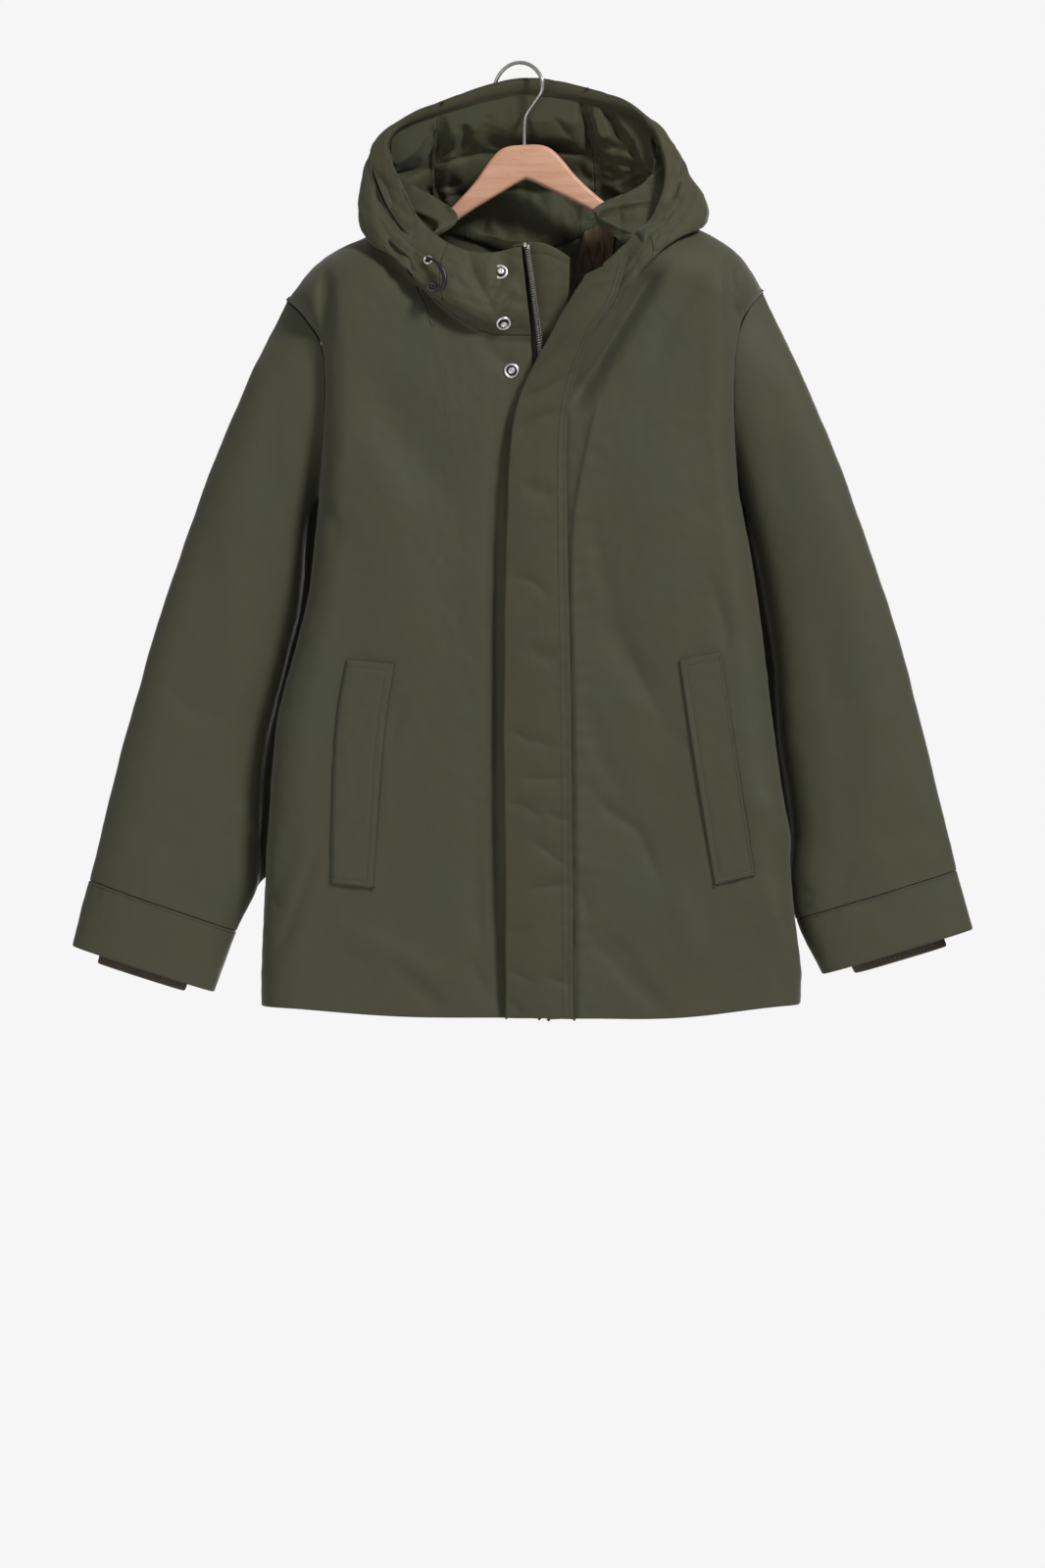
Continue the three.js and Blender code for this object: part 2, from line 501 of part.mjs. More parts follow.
// ---- Front closing: placket, zip and the guard behind it --------------------------------
// Edges from the hem up: x and z of the free and the sewn edge, each one's height over the cloth.
const PLACKET = [
  { at: 0.0, x: -13, z: -967, over: 10, sewn: 56, zs: -971, close: 4.6 },
  { at: 0.35, x: -15, z: -635, over: 10, sewn: 53, zs: -635, close: 4.4 },
  { at: 0.5, x: -13, z: -497, over: 10, sewn: 50, zs: -497, close: 4.4 },
  { at: 0.62, x: -9, z: -396, over: 10, sewn: 49, zs: -390, close: 4.8 },
  { at: 0.68, x: -2, z: -351, over: 11, sewn: 53, zs: -345, close: 7 },
  { at: 0.76, x: 16, z: -309, over: 13, sewn: 65, zs: -303, close: 13 },
  { at: 0.83, x: 31, z: -283, over: 16, sewn: 78, zs: -274, close: 21 },
  { at: 0.91, x: 46, z: -254, over: 19, sewn: 97, zs: -246, close: 23 },
  { at: 1.0, x: 66, z: -221, over: 18, sewn: 110, zs: -202, close: 20 },
];
/** A point of the placket's outer face: u from the free edge to the sewn one. */
function placketFace(u, v) {
  const value = (name) => column(PLACKET, name, v);
  const z = mix(value("z"), value("zs"), u);
  const height = clamp01((z + 973) / 733);
  const stand = mix(value("over"), value("close"), u) + 2 * Math.sin(Math.PI * clamp01(u));
  return [mix(value("x"), value("sewn"), u), column(DEPTH, "front", height) - stand, z];
}
const placketRows = [...steps(0, 0.62, 8), 0.68, 0.72, 0.76, 0.8, 0.84, 0.88, 0.92, 0.96, 1];
piece("placket", wall(placketFace, { us: steps(0, 1, 4), vs: placketRows, thick: PLACKET_THICK }), OLIVE);

// The zip's line down the front, and the right front's edge beside it.
const ZIP = [
  { at: -966, x: 25.5, edge: 21, left: 30, y: -62 },
  { at: -600, x: 24.5, edge: 20, left: 28.4, y: -66 },
  { at: -370, x: 23, edge: 17, left: 32, y: -67 },
  { at: -290, x: 20.5, edge: 13.4, left: 60, y: -68 },
  { at: -246, x: 15, edge: 9, left: 70, y: -74 },
  { at: -193, x: 8, edge: 3.3, left: 80, y: -70 },
];
/** A strip that follows the zip between two of its columns, each moved sideways. */
const zipStrip = (a, da, b, db, deep) => (u, v) => {
  const x = mix(column(ZIP, a, v) + da, column(ZIP, b, v) + db, u);
  return [x, column(ZIP, "y", v) + deep, v];
};
const zipRows = [...steps(-966, -370, 6), -325, -290, -268, -246, -219, -193];
const tape = { us: [0, 1], thick: 1 };
const tapeRight = zipStrip("edge", 0.4, "x", -2.3, 1);
const tapeLeft = zipStrip("x", 2.3, "left", -0.4, 1);
piece("zip_tape_right", wall(tapeRight, { ...tape, vs: zipRows }), BLACK);
piece("zip_tape_left", wall(tapeLeft, { ...tape, vs: zipRows.slice(0, 7) }), BLACK);
piece("zip_chain", wall(zipStrip("x", -2, "x", 2, 0), { us: [0, 0.5, 1], vs: zipRows, thick: 2.6 }), BLACK);
const GUARD = [
  { at: 0, x: 4, z: -960, right: 42, zr: -960 },
  { at: 0.72, x: 4, z: -400, right: 40, zr: -400 },
  { at: 0.86, x: -4, z: -300, right: 44, zr: -300 },
  { at: 0.95, x: -4, z: -236, right: 51, zr: -236 },
  { at: 1, x: -6, z: -190, right: 52, zr: -202 },
];
/** The zip guard's face: u from its sewn edge to its free one, the top edge bowed up. */
function guardFace(u, v) {
  const value = (name) => column(GUARD, name, v);
  const bow = 9 * Math.sin(Math.PI * clamp01(u)) * smooth((v - 0.9) / 0.1);
  const z = mix(value("z"), value("zr"), u) + bow;
  return [mix(value("x"), value("right"), u), column(DEPTH, "front", clamp01((z + 973) / 733)) + 7.5, z];
}
const guardRows = [...steps(0, 0.72, 5), 0.8, 0.88, 0.94, 1];
piece("zip_guard", wall(guardFace, { us: steps(0, 1, 5), vs: guardRows, thick: LINING }), OLIVE);

// ---- Snaps, eyelets and the hood's cord --------------------------------------------------
/** A solid of revolution round +Z: radii and heights up one side, closed on the axis. */
function turnedSolid(profile, sides = 14) {
  const positions = [];
  const indices = [];
  const first = profile[0];
  const last = profile.at(-1);
  for (const [radius, height] of profile.slice(1, -1))
    for (let k = 0; k < sides; k++) {
      const angle = (2 * Math.PI * k) / sides;
      positions.push(radius * Math.cos(angle), radius * Math.sin(angle), height);
    }
  const rings = profile.length - 2;
  positions.push(0, 0, first[1], 0, 0, last[1]);
  for (let k = 0; k < sides; k++) {
    const next = (k + 1) % sides;
    const top = (rings - 1) * sides;
    indices.push(rings * sides, next, k, rings * sides + 1, top + k, top + next);
    for (let r = 0; r < rings - 1; r++) {
      const [a, b] = [r * sides + k, r * sides + next];
      indices.push(a, b, b + sides, a, b + sides, a + sides);
    }
  }
  const geometry = new THREE.BufferGeometry();
  geometry.setAttribute("position", new THREE.Float32BufferAttribute(positions, 3));
  geometry.setIndex(indices);
  return geometry;
}

/** A ring round +Z whose section is the closed loop of [radius, height]. */
function ringSolid(loop, sides = 12) {
  const positions = [];
  const indices = [];
  for (let k = 0; k < sides; k++) {
    const angle = (2 * Math.PI * k) / sides;
    for (const [radius, height] of loop)
      positions.push(radius * Math.cos(angle), radius * Math.sin(angle), height);
    for (let r = 0; r < loop.length; r++) {
      const [a, b] = [k * loop.length + r, k * loop.length + ((r + 1) % loop.length)];
      const step = loop.length;
      const wrap = (i) => (i + step) % (sides * step);
      indices.push(a, wrap(a), wrap(b), a, wrap(b), b);
    }
  }
  const geometry = new THREE.BufferGeometry();
  geometry.setAttribute("position", new THREE.Float32BufferAttribute(positions, 3));
  geometry.setIndex(indices);
  return geometry;
}

/** A round bar along a smooth line through the points, closed at both ends. */
function bar(points, radius, count, sides) {
  const curve = new THREE.CatmullRomCurve3(points.map(vec));
  const { normals, binormals } = curve.computeFrenetFrames(count);
  const positions = [];
  const indices = [];
  for (let i = 0; i <= count; i++) {
    const middle = curve.getPointAt(i / count);
    for (let k = 0; k < sides; k++) {
      const angle = (2 * Math.PI * k) / sides;
      const p = middle
        .clone()
        .addScaledVector(normals[i], radius * Math.cos(angle))
        .addScaledVector(binormals[i], radius * Math.sin(angle));
      positions.push(...p);
      if (i === count) continue;
      const [a, b] = [i * sides + k, i * sides + ((k + 1) % sides)];
      indices.push(a, b, b + sides, a, b + sides, a + sides);
    }
  }
  positions.push(...curve.getPointAt(0), ...curve.getPointAt(1));
  const ends = (count + 1) * sides;
  for (let k = 0; k < sides; k++) {
    const next = (k + 1) % sides;
    indices.push(ends, next, k, ends + 1, count * sides + k, count * sides + next);
  }
  const geometry = new THREE.BufferGeometry();
  geometry.setAttribute("position", new THREE.Float32BufferAttribute(positions, 3));
  geometry.setIndex(indices);
  return geometry;
}

/** Where a fitting sits on a face at (x, z): its place just clear of the cloth, and its axis. */
function seatOn(face, out, x, z, u, v) {
  const [a, b] = locate(face, x, z, u, v);
  const axis = normalAt(face, a, b, out);
  return { place: vec(face(a, b)).addScaledVector(axis, SEAM), axis };
}
/** Sets a geometry made round +Z onto a seat. */
function seated(geometry, { place, axis }) {
  geometry.applyQuaternion(new THREE.Quaternion().setFromUnitVectors(new THREE.Vector3(0, 0, 1), axis));
  return geometry.translate(...place);
}

const R = SNAP_RADIUS;
const SNAP_PROFILE = [
  [0, 0],
  [R, 0],
  [R, 0.8],
  [R * 0.84, 1.8],
  [R * 0.52, 1],
  [R * 0.38, 3.2],
  [0, 3.2],
];
const SNAPS = [
  { name: "snap_1", seat: seatOn(hoodFace, 1, -18, -217, 0.03, 0.28) },
  { name: "snap_2", seat: seatOn(hoodFace, 1, -15, -270, 0.03, 0.85) },
  { name: "snap_3", seat: seatOn(frontRight, -1, -7, -317, 0.1, 0.95) },
];
for (const { name, seat } of SNAPS) piece(name, seated(turnedSolid(SNAP_PROFILE), seat), STEEL);

const E = EYELET_RADIUS;
const EYELET_LOOP = [
  [E, 0],
  [E, 0.4],
  [E * 0.72, 1.4],
  [E * 0.48, 1],
  [E * 0.48, 0],
];
const upperEye = seatOn(hoodFace, 1, -91, -207, 0.17, 0.5);
const lowerEye = seatOn(hoodFace, 1, -87, -234, 0.19, 0.8);
piece("eyelet_1", seated(ringSolid(EYELET_LOOP), upperEye), STEEL);
piece("eyelet_2", seated(ringSolid(EYELET_LOOP), lowerEye), DARK_METAL);
const away = ({ place, axis }, far) => place.clone().addScaledVector(axis, far).toArray();
const cordLine = [
  away(upperEye, 1.9),
  away(upperEye, 7),
  [-80, -95, -212],
  [-74, -98, -225],
  [-77, -98, -238],
  away(lowerEye, 7),
  away(lowerEye, 1.9),
];
piece("hood_cord", bar(cordLine, CORD / 2, 20, 6), BLACK);

// ---- Hanger and hook -----------------------------------------------------------------------
// One half of the hanger's outline from its middle out: x from the middle, z below the top.
const HANGER_NECK = [[0, 0], [14, -1], [24, -5], [32, -12], [41, -22], [50, -33]];
const HANGER_ARM = [[62, -46], [79, -62], [104, -83], [140, -103], [212, -140]];
const HANGER_TIP = [[216, -144], [214, -152], [206, -154]];
const HANGER_UNDER = [[140, -119], [79, -79], [40, -52], [22, -42], [0, -34]];
const outline = [...HANGER_NECK, ...HANGER_ARM, ...HANGER_TIP, ...HANGER_UNDER];
const mirrored = outline.slice(1, -1).map(([x, z]) => [-x, z]).reverse();
const shape = new THREE.Shape([...outline, ...mirrored].map(([x, z]) => new THREE.Vector2(x, z)).reverse());
const ROUND = 3;
const wood = new THREE.ExtrudeGeometry(shape, {
  depth: HANGER_THICK - 2 * ROUND,
  bevelThickness: ROUND,
  bevelSize: ROUND,
  bevelOffset: -ROUND,
  bevelSegments: 2,
});
wood.translate(0, 0, ROUND - HANGER_THICK / 2).rotateX(Math.PI / 2);
wood.rotateY(-HANGER_TILT).translate(HANGER_X, 0, HANGER_TOP);
piece("hanger_body", wood, BEECH);

const middle = HOOK_RADIUS + WIRE / 2;
const bend = steps(20, 178, 9).map((degrees) => {
  const angle = THREE.MathUtils.degToRad(degrees);
  const reach = middle * Math.cos(angle);
  return [reach * Math.cos(HOOK_TURN), -reach * Math.sin(HOOK_TURN), middle * Math.sin(angle) - HOOK_RADIUS];
});
const stem = [
  [HANGER_X, 0, HANGER_TOP + SEAM],
  [HANGER_X, 0, -66],
  [7.5, -1, -53],
  [16, -8, -40],
  [23.5, -14, -29],
];
piece("hanger_hook", bar([...stem, ...bend], WIRE / 2, 40, 8), STEEL);

export default parka;
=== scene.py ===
"""A hooded parka hanging on a wooden hanger, dressed as finished cloth, metal and wood.

Sizes are millimetres in the classes below and become metres when a mesh is made.
Left and right are the wearer's, so the wearer's right side lies at -X.
"""

import logging
import math
from dataclasses import dataclass
from enum import Enum
from functools import lru_cache
from typing import Callable, Sequence

import bpy
import numpy as np
from mathutils import Matrix, Vector


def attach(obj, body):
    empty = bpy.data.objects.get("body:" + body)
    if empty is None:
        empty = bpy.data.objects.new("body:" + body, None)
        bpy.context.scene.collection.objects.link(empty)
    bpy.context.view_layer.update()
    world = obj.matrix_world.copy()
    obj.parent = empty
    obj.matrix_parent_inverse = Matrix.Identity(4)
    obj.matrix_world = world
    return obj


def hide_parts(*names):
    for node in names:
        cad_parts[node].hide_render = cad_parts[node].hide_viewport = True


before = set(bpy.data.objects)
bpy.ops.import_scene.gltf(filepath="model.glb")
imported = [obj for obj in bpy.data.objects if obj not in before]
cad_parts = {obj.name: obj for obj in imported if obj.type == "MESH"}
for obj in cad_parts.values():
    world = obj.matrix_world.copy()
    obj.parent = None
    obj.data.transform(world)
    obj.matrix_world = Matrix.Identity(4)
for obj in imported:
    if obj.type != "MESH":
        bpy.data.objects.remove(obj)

Array = np.ndarray
Face = Callable[[Array, Array], Array]
Relief = Callable[[Array, Array, Array], Array]

MM = 0.001
log = logging.getLogger("parka")


# ---- Numbers ------------------------------------------------------------------------------
def mix(a: Array, b: Array, share: Array) -> Array:
    """Blends a into b by a share."""
    return a + (b - a) * share


def clamp01(x: Array) -> Array:
    """Limits x to 0..1."""
    return np.clip(x, 0.0, 1.0)


def smooth(x: Array) -> Array:
    """An S-shaped step from 0 to 1."""
    t = clamp01(x)
    return t * t * (3 - 2 * t)


def cubic(places: Array, values: Array, at: Array) -> Array:
    """A smooth curve through every value.

    Args:
        places: where the values stand, rising.
        values: one per place, on the last axis.
        at: where to read the curve.

    Returns:
        The curve's values, shaped as `at`.
    """
    n = len(places)
    order = np.arange(n)
    before, after = np.maximum(order - 1, 0), np.minimum(order + 1, n - 1)
    slopes = (values[..., after] - values[..., before]) / (places[after] - places[before])
    i = np.clip(np.searchsorted(places, at, side="right") - 1, 0, n - 2)
    span = places[i + 1] - places[i]
    t = clamp01((at - places[i]) / span)

    def pick(table: Array, index: Array) -> Array:
        """Takes one value of each row of a table."""
        if table.ndim == 1:
            return table[index]
        return np.take_along_axis(table, index[..., None], axis=-1)[..., 0]

    t2, t3 = t * t, t * t * t
    return (
        (2 * t3 - 3 * t2 + 1) * pick(values, i)
        + (t3 - 2 * t2 + t) * span * pick(slopes, i)
        + (3 * t2 - 2 * t3) * pick(values, i + 1)
        + (t3 - t2) * span * pick(slopes, i + 1)
    )


def run_along(points: Array) -> Array:
    """How far along a line each of its points lies, from 0 at the first."""
    return np.concatenate([[0], np.cumsum(np.linalg.norm(np.diff(points, axis=0), axis=-1))])


@dataclass(frozen=True)
class Table:
    """A short table whose first column is the place along a curve."""

    names: tuple[str, ...]
    rows: tuple[tuple[float, ...], ...]

    def value(self, name: str, at: Array) -> Array:
        """Reads one column on a smooth curve.

        Args:
            name: the column's name.
            at: places along the table.

        Returns:
            The column's values there.
        """
        data = np.array(self.rows, float)
        return cubic(data[:, 0], data[:, self.names.index(name)], np.asarray(at, float))

    def point(self, names: Sequence[str], at: Array) -> Array:
        """Reads several columns as the last axis of one array."""
        return np.stack([self.value(name, at) for name in names], axis=-1)


def lattice(ix: Array, iy: Array, seed: int) -> Array:
    """A repeatable angle for each whole-number place."""
    mixed = (ix * 374761393 + iy * 668265263 + seed * 974634777) & 0xFFFFFFFF
    mixed = ((mixed ^ (mixed >> 13)) * 1274126177) & 0xFFFFFFFF
    return ((mixed ^ (mixed >> 16)) & 0xFFFF) / 65536.0 * 2 * math.pi


def noise(x: Array, y: Array, seed: int) -> Array:
    """Smooth gradient noise in about -1..1 with cells one unit wide.

    Args:
        x: first coordinate.
        y: second coordinate.
        seed: which pattern.

    Returns:
        The noise, shaped as x.
    """
    ix, iy = np.floor(x).astype(np.int64), np.floor(y).astype(np.int64)
    fx, fy = x - ix, y - iy

    def corner(a: int, b: int) -> Array:
        """One corner's gradient at the place."""
        angle = lattice(ix + a, iy + b, seed)
        return np.cos(angle) * (fx - a) + np.sin(angle) * (fy - b)

    sx, sy = fx**3 * (fx * (fx * 6 - 15) + 10), fy**3 * (fy * (fy * 6 - 15) + 10)
    low = mix(corner(0, 0), corner(1, 0), sx)
    high = mix(corner(0, 1), corner(1, 1), sx)
    return mix(low, high, sy) * 1.5


def cracked(x: Array, y: Array, seed: int, sharp: float = 0.13) -> Array:
    """A web of thin lines, 1 on a line and 0 between them, as in crinkled cloth."""
    return np.exp(-np.abs(noise(x, y, seed)) / sharp)


def finer(grid: Array) -> Array:
    """Doubles a grid's rows and columns on smooth curves."""
    for axis in (0, 1):
        rows = np.moveaxis(grid, axis, 0)
        wide = np.concatenate([2 * rows[:1] - rows[1:2], rows, 2 * rows[-1:] - rows[-2:-1]])
        made = np.empty((2 * len(rows) - 1, *rows.shape[1:]))
        made[::2] = rows
        made[1::2] = (9 * (wide[1:-2] + wide[2:-1]) - wide[:-3] - wide[3:]) / 16
        grid = np.moveaxis(made, 0, axis)
    return grid


# ---- Folds --------------------------------------------------------------------------------
class FoldKind(Enum):
    """How the cloth rises or falls across a fold's line."""

    VALLEY = "valley"
    RIDGE = "ridge"
    CREASE = "crease"


@dataclass(frozen=True)
class Fold:
    """A fold along a line through places on the hanging cloth, seen from the front."""

    kind: FoldKind
    line: tuple[tuple[float, float], ...]
    wide: float
    deep: float
    fade: float = 0.35

    def rise(self, x: Array, z: Array) -> Array:
        """How far the fold lifts the cloth.

        Args:
            x: places across, in mm.
            z: places up, in mm.

        Returns:
            The rise in mm, negative in a valley.
        """
        points = np.array(self.line, float)
        steps = np.hypot(*(points[1:] - points[:-1]).T)
        total = steps.sum()
        best = np.full(x.shape, 1e9)
        share = np.zeros(x.shape)
        passed = 0.0
        for (ax, az), (bx, bz), step in zip(points[:-1], points[1:], steps):
            dx, dz = (bx - ax) / step, (bz - az) / step
            along = np.clip((x - ax) * dx + (z - az) * dz, 0, step)
            ox, oz = x - ax - along * dx, z - az - along * dz
            off = np.hypot(ox, oz)
            near = off < best
            best = np.where(near, off, best)
            share = np.where(near, (passed + along) / total, share)
            passed += step
        ends = smooth(share / self.fade) * smooth((1 - share) / self.fade)
        d = best / self.wide
        if self.kind is FoldKind.CREASE:
            return -self.deep * ends * np.exp(-(np.sqrt(d * d + 0.02) - 0.14))
        sign = 1 if self.kind is FoldKind.RIDGE else -1
        return sign * self.deep * ends * np.exp(-d * d)


def folds(*rows: tuple) -> tuple[Fold, ...]:
    """Makes folds from rows of kind, width, depth and line."""
    return tuple(Fold(kind, tuple(line), wide, deep) for kind, wide, deep, *line in rows)


def folded(group: Sequence[Fold], x: Array, z: Array) -> Array:
    """The folds' joint rise: soft ones add up, and of the creases the deepest counts."""
    total, sharp = np.zeros(x.shape), np.zeros(x.shape)
    for fold in group:
        rise = fold.rise(x, z)
        if fold.kind is FoldKind.CREASE:
            sharp = np.minimum(sharp, rise)
        else:
            total = total + rise
    return total + sharp


# ---- The garment's cut --------------------------------------------------------------------
V, R, C = FoldKind.VALLEY, FoldKind.RIDGE, FoldKind.CREASE

ARMPIT = 0.66
SIDE_NAMES = ("at", "x", "z", "seam")
SIDE_RIGHT = Table(
    SIDE_NAMES,
    (
        (0.0, -262, -959, -12),
        (0.17, -258, -838, -12),
        (0.4, -245, -672, -10),
        (0.54, -215, -552, -6),
        (ARMPIT, -203, -440, -3),
        (0.76, -197, -368, 0),
        (0.85, -198, -298, 0),
        (0.93, -216, -262, 0),
        (1.0, -236, -241, 0),
    ),
)
SIDE_LEFT = Table(
    SIDE_NAMES,
    (
        (0.0, 287, -957, -12),
        (0.17, 277, -838, -12),
        (0.4, 258, -669, -10),
        (0.54, 243, -550, -6),
        (ARMPIT, 226, -440, -3),
        (0.76, 219, -366, 0),
        (0.85, 220, -292, 0),
        (0.93, 233, -253, 0),
        (1.0, 249, -232, 0),
    ),
)
PLANE = ("at", "x", "z")
CENTRE_RIGHT = Table(PLANE, ((0, 21, -971), (0.5, 20, -640), (0.85, 17, -370), (1, 13, -282)))
CENTRE_LEFT = Table(PLANE, ((0, 30, -972), (0.5, 28, -640), (0.85, 33, -364), (1, 57, -298)))
CENTRE_BACK = Table(PLANE, ((0, 12, -973), (1, 6, -180)))
RIDGE_LINE = Table(
    ("at", "z"),
    (
        (-236, -241),
        (-205, -204),
        (-153, -175),
        (-104, -158),
        (-60, -130),
        (0, -100),
        (60, -104),
        (112, -146),
        (184, -169),
        (226, -196),
        (249, -232),
    ),
)
DEPTH = Table(
    ("at", "front", "back"), ((0, -64, 34), (0.3, -67, 38), (0.65, -69, 42), (1, -68, 44))
)
HOOD = Table(
    ("at", "rx", "ry", "rz", "hx", "hy", "hz", "lx", "ly", "lz", "nx", "nz"),
    (
        (0.0, 3, -71, -191, 6, -77, -221, 10, -77, -256, 13, -282),
        (0.07, -38, -72, -197, -37, -83, -226, -34, -86, -261, -30, -279),
        (0.14, -71, -66, -186, -79, -81, -211, -77, -85, -245, -67, -257),
        (0.22, -100, -51, -160, -120, -62, -178, -119, -78, -209, -96, -228),
        (0.3, -119, -34, -121, -148, -36, -132, -153, -48, -182, -109, -190),
        (0.36, -137, -14, -82, -153, -2, -92, -158, 4, -163, -118, -163.53),
        (0.395, -123, -6, -57, -136, 10, -71, -143, 34, -147, -86, -162),
        (0.43, -92, 2, -40, -98, 16, -60, -99, 52, -137, -62, -166),
        (0.5, 1, 6, -12, 1, 19, -40, 3, 58, -128, 6, -180),
        (0.57, 82, 4, -25, 86, 18, -48, 91, 52, -131, 72, -162),
        (0.605, 120, -2, -41, 130, 12, -61, 143, 34, -145, 92, -154),
        (0.64, 141, -10, -67, 157, 2, -78, 184, 6, -153, 133, -154.35),
        (0.71, 149, -30, -111, 172, -30, -119, 187, -38, -168, 131, -178),
        (0.79, 137, -49, -153, 155, -56, -159, 158, -66, -184, 129, -196),
        (0.86, 119, -62, -176, 132, -72, -183, 134, -80, -205, 117, -222),
        (0.93, 103, -70, -191, 111, -80, -207, 107, -84, -235, 93, -257),
        (1.0, 85, -73, -208, 79, -80, -233, 67, -81, -268, 57, -298),
    ),
)
HNP_RIGHT, HNP_LEFT = 0.36, 0.64
COLLAR_RIGHT_END, COLLAR_LEFT_END = 0.14, 0.86
CROWN_RIGHT, CROWN_LEFT = 0.44, 0.56
NECK_SHARE, BACK_NECK_SHARE = 0.44, 0.42
SIDE_TURN, TOP_TURN, TURN_HEIGHT, FLAT = 0.14, 0.09, 63.0, 0.62
SIDE_BULGE, NECK_FLARE = 5.0, 3.0
ARMHOLE = {"front": -42.0, "back": 36.0}
SEAM = 0.3

FRONT_HOLLOWS = (
    (68, -330, 126, -234, 11, 13, 42),
    (-197, -222, -195, -275, 8, 7, 30),
    (215, -212, 218, -264, 8, 7, 30),
    (-4, -940, 0, -400, 18, 5, 60),
)


def front_hollows(x: Array, z: Array) -> Array:
    """How far back the fronts' largest folds lie at (x, z)."""
    total = np.zeros(x.shape)
    for x0, z0, x1, z1, wide, deep, soft in FRONT_HOLLOWS:
        dx, dz = x1 - x0, z1 - z0
        length = math.hypot(dx, dz)
        along = ((x - x0) * dx + (z - z0) * dz) / length
        off = ((x - x0) * dz - (z - z0) * dx) / length
        ends = smooth((along + soft) / soft) * smooth((length + soft - along) / soft)
        total += deep * np.exp(-((off / wide) ** 2)) * ends
    return total


def cloth_depth(plane: str, t: Array, x: Array, z: Array) -> Array:
    """The y of the front or back cloth at (x, z), t up from the hem."""
    below = clamp01((RIDGE_LINE.value("z", x) - z) / TURN_HEIGHT)
    dips = front_hollows(x, z) if plane == "front" else 0.0
    return (DEPTH.value(plane, t) + dips) * np.sqrt(1 - (1 - below) ** 2)


def armhole_depth(plane: str, t: Array) -> Array:
    """How far an armhole's half stands from its middle at t."""
    wave = np.maximum(0, np.sin(math.pi * (t - ARMPIT) / (1 - ARMPIT)))
    return np.where(t <= ARMPIT, 0.0, ARMHOLE[plane] * wave**0.7)


def apart(plane: str) -> float:
    """Half the gap along a seam that joins front to back."""
    return -SEAM / 2 if plane == "front" else SEAM / 2


@dataclass(frozen=True)
class BodyHalf:
    """Half a body panel, from its centre line to its side seam."""

    side: Table
    centre: Table
    hem: float
    plane: str
    start: float
    end: float
    share: float
    direct: float = 0.0

    def neck(self, at: Array) -> Array:
        """The neck line's x and z, read from this half's own rows of the hood's table."""
        low, high = sorted((self.start, self.end))
        rows = np.array([row for row in HOOD.rows if low <= row[0] <= high], float)
        x, z = (rows[:, HOOD.names.index(name)] for name in ("nx", "nz"))
        direct = x[0] + (x[-1] - x[0]) * (z - z[0]) / (z[-1] - z[0])
        line = (mix(x, direct, self.direct), z)
        return np.stack([cubic(rows[:, 0], values, at) for values in line], axis=-1)

    def face(self, u: Array, v: Array) -> Array:
        """A point of the cloth.

        Args:
            u: 0 at the centre line to 1 at the side seam.
            v: 0 at the hem to 1 at the top.

        Returns:
            Points in mm on the last axis.
        """
        u, v = np.broadcast_arrays(np.asarray(u, float), np.asarray(v, float))
        angle = clamp01((u - FLAT) / (1 - FLAT)) * math.pi / 2
        s = np.where(u <= FLAT, (1 - SIDE_TURN) * u / FLAT, 1 - SIDE_TURN + SIDE_TURN * np.sin(angle))
        turn = np.where(u <= FLAT, 0.0, 1 - np.cos(angle))
        over = clamp01((v - FLAT) / (1 - FLAT))
        rounded = 1 - TOP_TURN + TOP_TURN * np.sin(over * math.pi / 2)
        level = 1 - TOP_TURN * (1 - over)
        flat = (1 - TOP_TURN) * v / FLAT
        shoulder = smooth((s - self.share + 0.08) / 0.08)
        t = mix(np.where(v <= FLAT, flat, level), np.where(v <= FLAT, flat, rounded), shoulder)
        c, e = self.centre.point(("x", "z"), t), self.side.point(("x", "z"), t)
        one = np.array(1.0)
        c1, e1 = self.centre.point(("x", "z"), one), self.side.point(("x", "z"), one)
        neck = self.neck(mix(self.start, self.end, clamp01(s / self.share)))
        along = mix(neck[..., 0], e1[0], clamp01((s - self.share) / (1 - self.share)))
        inside = s < self.share
        top = [
            np.where(inside, neck[..., 0], along),
            np.where(inside, neck[..., 1], RIDGE_LINE.value("z", along)),
        ]
        outward = np.sign(e[..., 0] - c[..., 0])
        is_front = self.plane == "front"
        bulge = (SIDE_BULGE if is_front else 0) * np.sin(math.pi * clamp01((u - FLAT) / (1 - FLAT))) ** 2
        below = 1 - smooth((t - ARMPIT + 0.06) / 0.12)
        high = clamp01((t - 0.88) / 0.12)
        beside = np.exp(-(((s - self.share * 0.96) / 0.11) ** 2))
        flare = (NECK_FLARE if is_front else 0) * beside * 4 * high * (1 - high)
        x = mix(c[..., 0], e[..., 0], s) + t**2 * (top[0] - mix(c1[0], e1[0], s))
        x = x + outward * (bulge * below + flare)
        sag = (1 - t) ** 3 * self.hem * np.sin(math.pi * s) ** 2
        z = mix(c[..., 1], e[..., 1], s) + t**2 * (top[1] - mix(c1[1], e1[1], s)) - sag
        edge = self.side.value("seam", t) + armhole_depth(self.plane, t)
        y = mix(cloth_depth(self.plane, t, x, z), edge, turn) + apart(self.plane)
        return np.stack([x, y, z], axis=-1)


